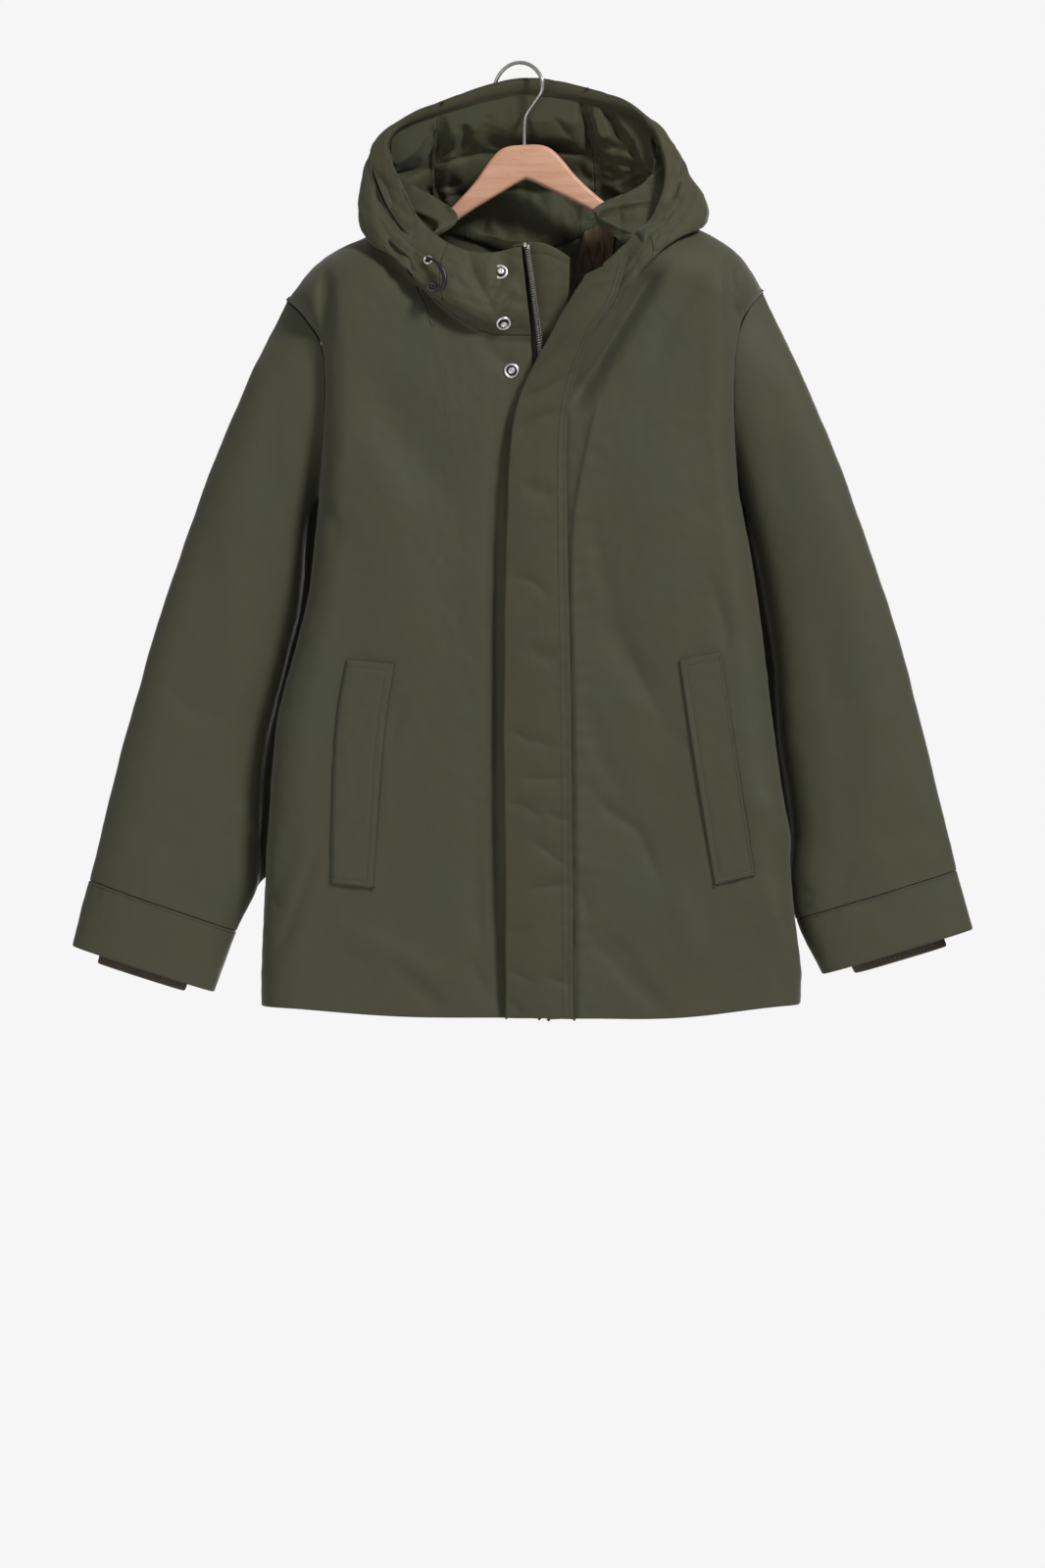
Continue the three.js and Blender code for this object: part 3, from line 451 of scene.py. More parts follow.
FRONT_RIGHT = BodyHalf(SIDE_RIGHT, CENTRE_RIGHT, 4, "front", 0.0, HNP_RIGHT, NECK_SHARE)
FRONT_LEFT = BodyHalf(SIDE_LEFT, CENTRE_LEFT, 6, "front", 1.0, HNP_LEFT, NECK_SHARE, 0.9)
BACK_RIGHT = BodyHalf(SIDE_RIGHT, CENTRE_BACK, 2, "back", 0.5, HNP_RIGHT, BACK_NECK_SHARE)
BACK_LEFT = BodyHalf(SIDE_LEFT, CENTRE_BACK, 2, "back", 0.5, HNP_LEFT, BACK_NECK_SHARE)


def back_face(u: Array, v: Array) -> Array:
    """The whole back: u from -1 at the right side seam to 1 at the left."""
    u, v = np.broadcast_arrays(np.asarray(u, float), np.asarray(v, float))
    right, left = BACK_RIGHT.face(np.maximum(-u, 0), v), BACK_LEFT.face(np.maximum(u, 0), v)
    return np.where((u < 0)[..., None], right, left)


def hood_face(u: Array, w: Array) -> Array:
    """The hood's outer cloth: u round the rim from the right front, w from rim to neck."""
    u, w = np.broadcast_arrays(np.asarray(u, float), np.asarray(w, float))
    nx, nz = HOOD.value("nx", u), HOOD.value("nz", u)
    one = np.ones(u.shape)
    behind = (u > HNP_RIGHT) & (u < HNP_LEFT)
    ny = np.where(behind, cloth_depth("back", one, nx, nz), cloth_depth("front", one, nx, nz))
    neck = {"x": nx, "y": ny, "z": nz}
    places = np.array([0, 0.28, 0.72, 1.0])
    out = []
    for axis in "xyz":
        rows = [HOOD.value(row + axis, u) for row in "rhl"] + [neck[axis]]
        out.append(cubic(places, np.stack(rows, axis=-1), w))
    return np.stack(out, axis=-1)


CUFF = 0.9
SLEEVE_NAMES = ("at", "x", "z", "xin", "zin", "yin", "front", "back")
SLEEVE_RIGHT = Table(
    SLEEVE_NAMES,
    (
        (0.0, -236, -241, -203, -440, -3, 44, 38),
        (0.1, -258, -286, -212, -458, 6, 46, 40),
        (0.2, -282, -338, -217, -490, 12, 46, 40),
        (0.35, -322, -436, -222, -548, 14, 44, 38),
        (0.5, -358, -540, -238, -620, 14, 42, 36),
        (0.65, -389, -642, -256, -700, 14, 40, 34),
        (0.8, -418, -752, -264, -790, 10, 37, 32),
        (0.85, -428, -793, -267, -840, 6, 35, 31),
        (CUFF, -438, -832, -288, -884, 2, 33, 30),
        (1.0, -455, -899, -310, -946, -2, 31, 28),
    ),
)
SLEEVE_LEFT = Table(
    SLEEVE_NAMES,
    (
        (0.0, 249, -232, 226, -440, -3, 44, 38),
        (0.1, 272, -280, 232, -458, 6, 46, 40),
        (0.2, 297, -336, 238, -487, 12, 46, 40),
        (0.35, 337, -438, 249, -540, 14, 44, 38),
        (0.5, 372, -538, 261, -612, 14, 42, 36),
        (0.65, 402, -642, 267, -697, 14, 40, 34),
        (0.8, 431, -757, 279, -790, 10, 37, 32),
        (0.85, 439, -789, 277, -830, 6, 35, 31),
        (CUFF, 447, -822, 283, -872, 2, 33, 30),
        (1.0, 463, -882, 310, -928, -2, 31, 28),
    ),
)
SLEEVE_MIDDLE, CAP = -2.0, 0.16


def sleeve_ring(rows: Table, u: Array, v: Array) -> Array:
    """A plain sleeve: u from its outer edge over the front to its inner edge."""

    def power(wave: Array, p: float) -> Array:
        """A wave with squarer shoulders."""
        return np.sign(wave) * np.abs(wave) ** p

    out = power(np.cos(2 * math.pi * u), 0.9)
    front = power(np.sin(2 * math.pi * u), 0.72)
    share = (out + 1) / 2
    x = mix(rows.value("xin", v), rows.value("x", v), share)
    z = mix(rows.value("zin", v), rows.value("z", v), share)
    middle = mix(rows.value("yin", v), SLEEVE_MIDDLE, share)
    deep = np.where(u < 0.5, rows.value("front", v), rows.value("back", v))
    return np.stack([x, middle - front * deep, z], axis=-1)


def sleeve_face(rows: Table, side: Table) -> Face:
    """Makes a sleeve's face: u round it, v from the armhole to the cuff's end and past."""

    def armhole(u: Array) -> Array:
        """The body's armhole, u as round the sleeve."""
        t = mix(1.0, ARMPIT, 1 - np.abs(1 - 2 * u))
        front = armhole_depth("front", t) + apart("front")
        behind = armhole_depth("back", t) + apart("back")
        y = side.value("seam", t) + np.where(u < 0.5, front, behind)
        return np.stack([side.value("x", t), y, side.value("z", t)], axis=-1)

    def face(u: Array, v: Array) -> Array:
        """A point of the sleeve."""
        u, v = np.broadcast_arrays(np.asarray(u, float), np.asarray(v, float))
        w = u - np.floor(u)
        share = (1 - smooth(v / CAP))[..., None]
        ring = sleeve_ring(rows, w, v)
        first, seam = sleeve_ring(rows, w, np.zeros(w.shape)), armhole(w)
        past = (np.maximum(0, v - 1) / 0.04)[..., None]
        before = sleeve_ring(rows, w, np.full(w.shape, 0.96))
        return ring + share * (seam - first) + past * (ring - before)

    return face


PLACKET_FOOT, PLACKET_TALL = -969.0, 765.0
PLACKET = Table(
    ("at", "x", "z", "over", "sewn", "zs", "close"),
    (
        (0.0, -13, -969, 10, 56, -971.5, 4.6),
        (0.35, -15, -635, 10, 53, -635, 4.4),
        (0.5, -13, -497, 10, 50, -497, 4.4),
        (0.62, -9, -396, 10, 49, -390, 4.8),
        (0.68, -2, -351, 11, 53, -345, 7),
        (0.76, 16, -309, 13, 65, -303, 13),
        (0.83, 31, -283, 16, 78, -274, 21),
        (0.91, 46, -254, 19, 97, -246, 23),
        (1.0, 66, -221, 18, 110, -202, 20),
    ),
)


HEM_HEIGHT, FRONT_TALL = -973.0, 733.0


def plain_front(z: Array) -> Array:
    """The y of the fronts' cloth, without its folds, at a height."""
    return DEPTH.value("front", clamp01((z - HEM_HEIGHT) / FRONT_TALL))


def placket_face(u: Array, v: Array) -> Array:
    """The placket's outer face: u from the free edge to the sewn one."""
    u, v = np.broadcast_arrays(np.asarray(u, float), np.asarray(v, float))
    z = mix(PLACKET.value("z", v), PLACKET.value("zs", v), u)
    stand = mix(PLACKET.value("over", v), PLACKET.value("close", v), u)
    stand = stand + 2 * np.sin(math.pi * clamp01(u))
    depth = plain_front(z)
    return np.stack([mix(PLACKET.value("x", v), PLACKET.value("sewn", v), u), depth - stand, z], -1)


ZIP = Table(
    ("at", "x", "edge", "left", "y"),
    (
        (-966, 25.5, 21, 30, -62),
        (-600, 24.5, 20, 28.4, -66),
        (-370, 23, 17, 32, -67),
        (-290, 20.5, 13.4, 60, -68),
        (-246, 15, 9, 70, -74),
        (-193, 8, 3.3, 80, -70),
    ),
)
GUARD = Table(
    ("at", "x", "z", "right", "zr"),
    (
        (0, 4, -960, 42, -960),
        (0.72, 4, -400, 40, -400),
        (0.86, -4, -300, 44, -300),
        (0.95, -4, -236, 51, -236),
        (1, -6, -190, 52, -202),
    ),
)


def guard_face(u: Array, v: Array) -> Array:
    """The zip guard behind the zip: u from its sewn edge to its free one."""
    u, v = np.broadcast_arrays(np.asarray(u, float), np.asarray(v, float))
    bow = 9 * np.sin(math.pi * clamp01(u)) * smooth((v - 0.9) / 0.1)
    z = mix(GUARD.value("z", v), GUARD.value("zr", v), u) + bow
    y = plain_front(z) + 7.5
    return np.stack([mix(GUARD.value("x", v), GUARD.value("right", v), u), y, z], axis=-1)


def locate(face: Face, x: float, z: float, u: float = 0.5, v: float = 0.5) -> tuple[float, float]:
    """Finds where a face passes a place seen from the front.

    Args:
        face: the surface.
        x: the place across, in mm.
        z: the place up, in mm.
        u: where to start looking.
        v: where to start looking.

    Returns:
        The face's own coordinates of that place.
    """
    d = 1e-3
    for _ in range(40):
        p = face(np.array([u, u + d, u]), np.array([v, v, v + d]))
        a, b = (p[1, 0] - p[0, 0]) / d, (p[2, 0] - p[0, 0]) / d
        c, e = (p[1, 2] - p[0, 2]) / d, (p[2, 2] - p[0, 2]) / d
        det = a * e - b * c
        u += float(np.clip(((x - p[0, 0]) * e - (z - p[0, 2]) * b) / det, -0.1, 0.1))
        v += float(np.clip(((z - p[0, 2]) * a - (x - p[0, 0]) * c) / det, -0.1, 0.1))
    return u, v


# ---- Finishes -----------------------------------------------------------------------------
def linear(hex_colour: str) -> tuple[float, float, float, float]:
    """Turns an sRGB hex colour into linear light with full alpha."""
    parts = [int(hex_colour[i : i + 2], 16) / 255 for i in (1, 3, 5)]
    values = [p / 12.92 if p <= 0.04045 else ((p + 0.055) / 1.055) ** 2.4 for p in parts]
    return (values[0], values[1], values[2], 1.0)


def dimmed(hex_colour: str, share: float) -> tuple[float, float, float, float]:
    """A share of an sRGB hex colour's linear light, with full alpha."""
    red, green, blue, alpha = linear(hex_colour)
    return (share * red, share * green, share * blue, alpha)


class NodeSheet:
    """A material's nodes, added and joined in short calls."""

    def __init__(self, name: str) -> None:
        """Starts an empty material with its shader and output."""
        self.material = bpy.data.materials.new(name)
        self.material.use_nodes = True
        self.tree = self.material.node_tree
        self.tree.nodes.clear()
        self.shader = self.add("ShaderNodeBsdfPrincipled")
        output = self.add("ShaderNodeOutputMaterial")
        self.tree.links.new(self.shader.outputs[0], output.inputs[0])

    def add(self, kind: str, **settings: object) -> bpy.types.Node:
        """Adds a node.

        Args:
            kind: the node's type.
            settings: its properties, or its inputs by index as in_0 and so on.

        Returns:
            The node.
        """
        node = self.tree.nodes.new(kind)
        for key, value in settings.items():
            if not key.startswith("in_"):
                setattr(node, key, value)
        for key, value in settings.items():
            if key.startswith("in_"):
                self.feed(node.inputs[int(key[3:])], value)
        return node

    def feed(self, socket: bpy.types.NodeSocket, value: object) -> None:
        """Sets an input to a value, or joins it to another node's output."""
        if isinstance(value, bpy.types.Node):
            value = value.outputs[0]
        if isinstance(value, bpy.types.NodeSocket):
            self.tree.links.new(value, socket)
        else:
            socket.default_value = value

    def math(self, operation: str, a: object, b: object = 0.0, c: object = 0.0) -> bpy.types.Node:
        """Adds a maths node."""
        return self.add("ShaderNodeMath", operation=operation, in_0=a, in_1=b, in_2=c)

    def blend(self, share: object, a: object, b: object) -> bpy.types.NodeSocket:
        """Mixes two colours by a share and gives the colour's socket."""
        node = self.add("ShaderNodeMix", data_type="RGBA")
        for name, value in (("Factor", share), ("A", a), ("B", b)):
            self.feed([s for s in node.inputs if s.name == name and s.enabled][0], value)
        return [s for s in node.outputs if s.enabled][0]

    def noise(self, vector: object, size: float, detail: float = 2.0) -> bpy.types.Node:
        """Adds noise whose features are about `size` mm wide."""
        node = self.add("ShaderNodeTexNoise")
        self.tree.links.new(vector, node.inputs["Vector"])
        node.inputs["Scale"].default_value = 1 / (size * MM)
        node.inputs["Detail"].default_value = detail
        return node

    def ramp(self, source: object, low: float, high: float) -> bpy.types.Node:
        """Stretches low..high to 0..1, clamped."""
        return self.add("ShaderNodeMapRange", in_0=source, in_1=low, in_2=high, in_3=0.0, in_4=1.0)

    def bump(self, height: object, depth: float, below: object = None) -> bpy.types.Node:
        """Adds a bump whose full height is `depth` mm."""
        node = self.add("ShaderNodeBump")
        node.inputs["Strength"].default_value = 1.0
        node.inputs["Distance"].default_value = depth * MM
        self.feed(node.inputs["Height"], height)
        if below is not None:
            self.feed(node.inputs["Normal"], below)
        return node

    def finish(self, colour: object, roughness: object, bump: object, **fixed: float) -> bpy.types.Material:
        """Joins the results to the shader.

        Args:
            colour: base colour, a value or a socket.
            roughness: a value or a socket.
            bump: the last bump node, or None.
            fixed: other shader inputs, by name with _ for a space.

        Returns:
            The material.
        """
        self.feed(self.shader.inputs["Base Color"], colour)
        self.feed(self.shader.inputs["Roughness"], roughness)
        if bump is not None:
            self.feed(self.shader.inputs["Normal"], bump)
        for key, value in fixed.items():
            self.shader.inputs[key.replace("_", " ")].default_value = value
        return self.material


@dataclass(frozen=True)
class WovenCloth:
    """A fine, dense plain-woven cloth, a little crumpled."""

    name: str
    colour: str
    warm: str
    # A darker colour laid along every piece's finished edges: partly seam dirt, partly painted shade in the
    # seam.
    seam: str
    roughness: float = 0.62
    sheen: float = 0.12
    thread: float = 0.55
    crumple: float = 0.35

    @lru_cache(maxsize=None)
    def material(self) -> bpy.types.Material:
        """Builds the cloth's material from its threads, mottling and crumples, darkened at its edges by seam
        dirt and painted seam shade.
        """
        sheet = NodeSheet(self.name)
        uv = sheet.add("ShaderNodeUVMap", uv_map="cloth").outputs[0]
        split = sheet.add("ShaderNodeSeparateXYZ", in_0=uv)
        pitch = 2 * math.pi / (self.thread * MM)
        warp = sheet.math("SINE", sheet.math("MULTIPLY", split.outputs[0], pitch))
        weft = sheet.math("SINE", sheet.math("MULTIPLY", split.outputs[1], pitch))
        weave = sheet.math("MULTIPLY", warp, weft)
        fibre = sheet.noise(uv, 1.1, 3.0)
        slub = sheet.noise(uv, 4.0, 2.0)
        cloud = sheet.noise(uv, 90.0, 2.0)
        fold = sheet.noise(uv, 16.0, 3.0)
        tone = sheet.blend(sheet.ramp(cloud, 0.36, 0.64), linear(self.colour), linear(self.warm))
        speck = sheet.ramp(fibre, 0.3, 0.7)
        darker = dimmed(self.colour, 0.86)
        tone = sheet.blend(sheet.math("MULTIPLY", speck, 0.3), tone, darker)
        # Painted seam shade, with some seam dirt: within 1.6 mm of a finished edge the colour turns towards
        # the seam colour.
        edge = sheet.add("ShaderNodeAttribute", attribute_name="edge")
        near = sheet.math("MULTIPLY", sheet.ramp(edge.outputs["Fac"], 0.0016, 0.0004), 0.3)
        tone = sheet.blend(near, tone, linear(self.seam))
        rough = sheet.math("MULTIPLY_ADD", slub, 0.12, self.roughness - 0.06)
        bump = sheet.bump(weave, 0.02)
        bump = sheet.bump(fibre, 0.08, bump)
        bump = sheet.bump(fold, self.crumple, bump)
        return sheet.finish(
            tone,
            rough,
            bump,
            Sheen_Weight=self.sheen,
            Sheen_Roughness=0.5,
            Specular_IOR_Level=0.2,
        )


@dataclass(frozen=True)
class RibKnit:
    """A ribbed knit, fuzzy and matt, with its loops drawn 1.6 mm apart."""

    name: str = "rib_knit"
    colour: str = "#5E5649"
    deep: str = "#3F392F"

    @lru_cache(maxsize=None)
    def material(self) -> bpy.types.Material:
        """Builds the knit's material: loops along each rib."""
        sheet = NodeSheet(self.name)
        uv = sheet.add("ShaderNodeUVMap", uv_map="cloth").outputs[0]
        split = sheet.add("ShaderNodeSeparateXYZ", in_0=uv)
        loops = sheet.math("SINE", sheet.math("MULTIPLY", split.outputs[1], 2 * math.pi / (1.6 * MM)))
        fuzz = sheet.noise(uv, 0.9, 3.0)
        tone = sheet.blend(sheet.ramp(fuzz, 0.35, 0.65), linear(self.deep), linear(self.colour))
        bump = sheet.bump(fuzz, 0.25, sheet.bump(loops, 0.15))
        return sheet.finish(tone, 0.9, bump, Sheen_Weight=0.3, Specular_IOR_Level=0.2)


@dataclass(frozen=True)
class Thread:
    """Sewing thread or a braid, twisted along its length."""

    name: str
    colour: str
    roughness: float = 0.6

    @lru_cache(maxsize=None)
    def material(self) -> bpy.types.Material:
        """Builds a fine fibrous material."""
        sheet = NodeSheet(self.name)
        place = sheet.add("ShaderNodeTexCoord").outputs["Object"]
        fibre = sheet.noise(place, 0.6, 3.0)
        dark = dimmed(self.colour, 0.6)
        tone = sheet.blend(sheet.ramp(fibre, 0.35, 0.65), dark, linear(self.colour))
        return sheet.finish(
            tone, self.roughness, sheet.bump(fibre, 0.12), Sheen_Weight=0.1, Specular_IOR_Level=0.35
        )


@dataclass(frozen=True)
class Metal:
    """Plated or drawn metal with fine wear."""

    name: str
    colour: str
    roughness: float
    wear: float = 0.12

    @lru_cache(maxsize=None)
    def material(self) -> bpy.types.Material:
        """Builds the metal with smudged roughness and fine scratches."""
        sheet = NodeSheet(self.name)
        place = sheet.add("ShaderNodeTexCoord").outputs["Object"]
        smudge = sheet.noise(place, 3.0, 3.0)
        grain = sheet.noise(place, 0.35, 2.0)
        dull = dimmed(self.colour, 0.72)
        tone = sheet.blend(sheet.ramp(smudge, 0.35, 0.7), linear(self.colour), dull)
        rough = sheet.math("MULTIPLY_ADD", smudge, self.wear, self.roughness - self.wear / 2)
        return sheet.finish(tone, rough, sheet.bump(grain, 0.01), Metallic=1.0)


@dataclass(frozen=True)
class Beech:
    """Satin beech with short flecks along the grain."""

    name: str = "beech_wood"
    pale: str = "#DAAA8F"
    deep: str = "#CE9677"
    fleck: str = "#A8785B"

    @lru_cache(maxsize=None)
    def material(self) -> bpy.types.Material:
        """Builds the wood: growth bands, fibres and ray flecks along x."""
        sheet = NodeSheet(self.name)
        place = sheet.add("ShaderNodeTexCoord").outputs["Object"]
        along = sheet.add("ShaderNodeMapping", in_0=place)
        along.inputs["Scale"].default_value = (0.07, 1.0, 1.0)
        short = sheet.add("ShaderNodeMapping", in_0=place)
        short.inputs["Scale"].default_value = (0.16, 1.0, 1.0)
        bands = sheet.noise(along.outputs[0], 7.0, 3.0)
        fibre = sheet.noise(along.outputs[0], 0.9, 4.0)
        rays = sheet.noise(short.outputs[0], 1.5, 1.0)
        tone = sheet.blend(sheet.ramp(bands, 0.35, 0.65), linear(self.pale), linear(self.deep))
        dark = sheet.math("MULTIPLY", sheet.ramp(fibre, 0.45, 0.75), 0.3)
        tone = sheet.blend(dark, tone, linear(self.deep))
        flecks = sheet.math("MULTIPLY", sheet.ramp(rays, 0.6, 0.72), 0.22)
        tone = sheet.blend(flecks, tone, linear(self.fleck))
        rough = sheet.math("MULTIPLY_ADD", fibre, 0.15, 0.42)
        bump = sheet.bump(rays, 0.03, sheet.bump(fibre, 0.04))
        return sheet.finish(tone, rough, bump, Coat_Weight=0.12, Coat_Roughness=0.35)


@dataclass(frozen=True)
class StudioPaint:
    """Plain matt paper for the floor."""

    name: str = "studio_paper"
    colour: str = "#F7F7F8"
    fade: tuple[float, float] = (1.9, 2.26)
    glow: float = 0.3

    @lru_cache(maxsize=None)
    def material(self) -> bpy.types.Material:
        """Builds the paper, faintly mottled."""
        sheet = NodeSheet(self.name)
        place = sheet.add("ShaderNodeTexCoord").outputs["Object"]
        mottle = sheet.noise(place, 300.0, 2.0)
        dim = dimmed(self.colour, 0.97)
        tone = sheet.blend(mottle, linear(self.colour), dim)
        far = sheet.add("ShaderNodeVectorMath", operation="LENGTH", in_0=place)
        near = sheet.ramp(far.outputs["Value"], self.fade[1], self.fade[0])
        sheet.tree.links.new(near.outputs[0], sheet.shader.inputs["Alpha"])
        white = (1.0, 1.0, 1.0, 1.0)
        return sheet.finish(
            tone, 0.9, None, Specular_IOR_Level=0.1, Emission_Color=white, Emission_Strength=self.glow
        )


# A matt, plain-woven olive cotton blend: hardly a highlight, and a faint bloom where it turns
# away. Its weave is drawn to repeat every 0.55 mm, a size picked for the view, not measured.
# Each cloth's last colour is its seam colour: seam dirt together with painted shade along the seams.
SHELL = WovenCloth("olive_shell", "#484A38", "#4B4937", "#34342A")
SLEEVE_CLOTH = WovenCloth("olive_sleeve", "#494B39", "#4C4A38", "#35352B")
HOOD_CLOTH = WovenCloth("olive_hood", "#454633", "#484531", "#303127", crumple=0.6)
# The hood's olive lining: a little more bloom than the shell, and a weave drawn every 0.45 mm.
LINING_CLOTH = WovenCloth("olive_lining", "#40432F", "#43422D", "#2C2E25", 0.6, 0.16, 0.45, 0.5)
PLACKET_CLOTH = WovenCloth("olive_placket", "#454634", "#484532", "#333227", crumple=0.6)
# A brown satin lining, the smoothest of the cloths: its gathers catch a low, soft shine.
BROWN_LINING = WovenCloth("brown_lining", "#6B5B45", "#5F4F3A", "#43382A", 0.38, 0.1, 0.4, 0.6)
# Dark woven zip tape: the coarsest of the weaves, with nearly no bloom.
ZIP_TAPE = WovenCloth("zip_tape_weave", "#20201D", "#262520", "#121210", 0.7, 0.05, 0.9, 0.1)
# Sewing thread darker than the cloth, then a black braid and a smoother black cord sleeve.
OLIVE_THREAD = Thread("olive_thread", "#303026")
BLACK_BRAID = Thread("black_braid", "#17171A", 0.45)
BLACK_RUBBER = Thread("black_sleeve", "#131314", 0.35)
# Drawn steel wire, bright nickel and black nickel plate, and nickel dulled by wear: each has
# darker, smudged patches whose highlight is softer.
STEEL_WIRE = Metal("steel_wire", "#A8A6A2", 0.3)
NICKEL = Metal("bright_nickel", "#D6D5D2", 0.32)
# Black nickel also fills the snaps' grooves, as painted shade in those recesses.
BLACK_NICKEL = Metal("black_nickel", "#55524E", 0.3)
WORN_NICKEL = Metal("worn_nickel", "#6E6A65", 0.32)


# ---- Making pieces ------------------------------------------------------------------------
def new_object(name: str, points: Array, faces: Sequence[Sequence[int]]) -> bpy.types.Object:
    """Makes a mesh object at the origin from points in mm.

    Args:
        name: the piece's name.
        points: its vertices.
        faces: vertex numbers round each face.

    Returns:
        The object, shaded smooth and linked to the scene.
    """
    mesh = bpy.data.meshes.new(name)
    mesh.from_pydata((points * MM).tolist(), [], [list(map(int, f)) for f in faces])
    mesh.polygons.foreach_set("use_smooth", np.ones(len(mesh.polygons), bool))
    mesh.update()
    obj = bpy.data.objects.new(name, mesh)
    bpy.context.scene.collection.objects.link(obj)
    return obj


def only(obj: bpy.types.Object) -> None:
    """Selects one object alone and makes it active."""
    bpy.ops.object.select_all(action="DESELECT")
    obj.select_set(True)
    bpy.context.view_layer.objects.active = obj


def apply_modifier(obj: bpy.types.Object, kind: str, **settings: object) -> None:
    """Adds a modifier with its settings and applies it."""
    only(obj)
    modifier = obj.modifiers.new(kind.lower(), kind)
    for key, value in settings.items():
        setattr(modifier, key, value)
    bpy.ops.object.modifier_apply(modifier=modifier.name)


def finish_piece(
    obj: bpy.types.Object, look: bpy.types.Material, nodes: Sequence[str] = ()
) -> bpy.types.Object:
    """Gives a piece its material, its body and the CAD nodes it stands for."""
    obj.data.materials.clear()
    obj.data.materials.append(look)
    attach(obj, "root")
    if nodes:
        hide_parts(*nodes)
    count = len(obj.data.polygons)
    log.info("%s: %d faces", obj.name, count)
    return obj


class Border(Enum):
    """How a cloth piece ends along one of its four sides."""

    SEAM = "seam"
    TURNED = "turned"
    RAW = "raw"


def spaced(line: Callable[[Array], Array], a: float, b: float, step: float, ends: tuple[bool, bool]) -> Array:
    """Places along a line of cloth, even in mm and closer by its finished ends.

    Args:
        line: the points in mm along the line.
        a: where it starts.
        b: where it ends.
        step: the distance between places, in mm.
        ends: which ends get closer places.

    Returns:
        The places, from a to b.
    """
    fine = np.linspace(a, b, 400)
    points = line(fine)
    run = run_along(points)
    total = run[-1]
    count = max(2, round(total / step))
    marks = list(np.linspace(0, total, count + 1))
    close = [0.5, 1.1, 1.8, 2.7]
    if ends[0]:
        marks = [0.0] + close + [m for m in marks if m > close[-1] + step * 0.4]
    if ends[1]:
        marks = [m for m in marks if m < total - close[-1] - step * 0.4]
        marks += [total - c for c in reversed(close)] + [total]
    return np.interp(marks, run, fine)


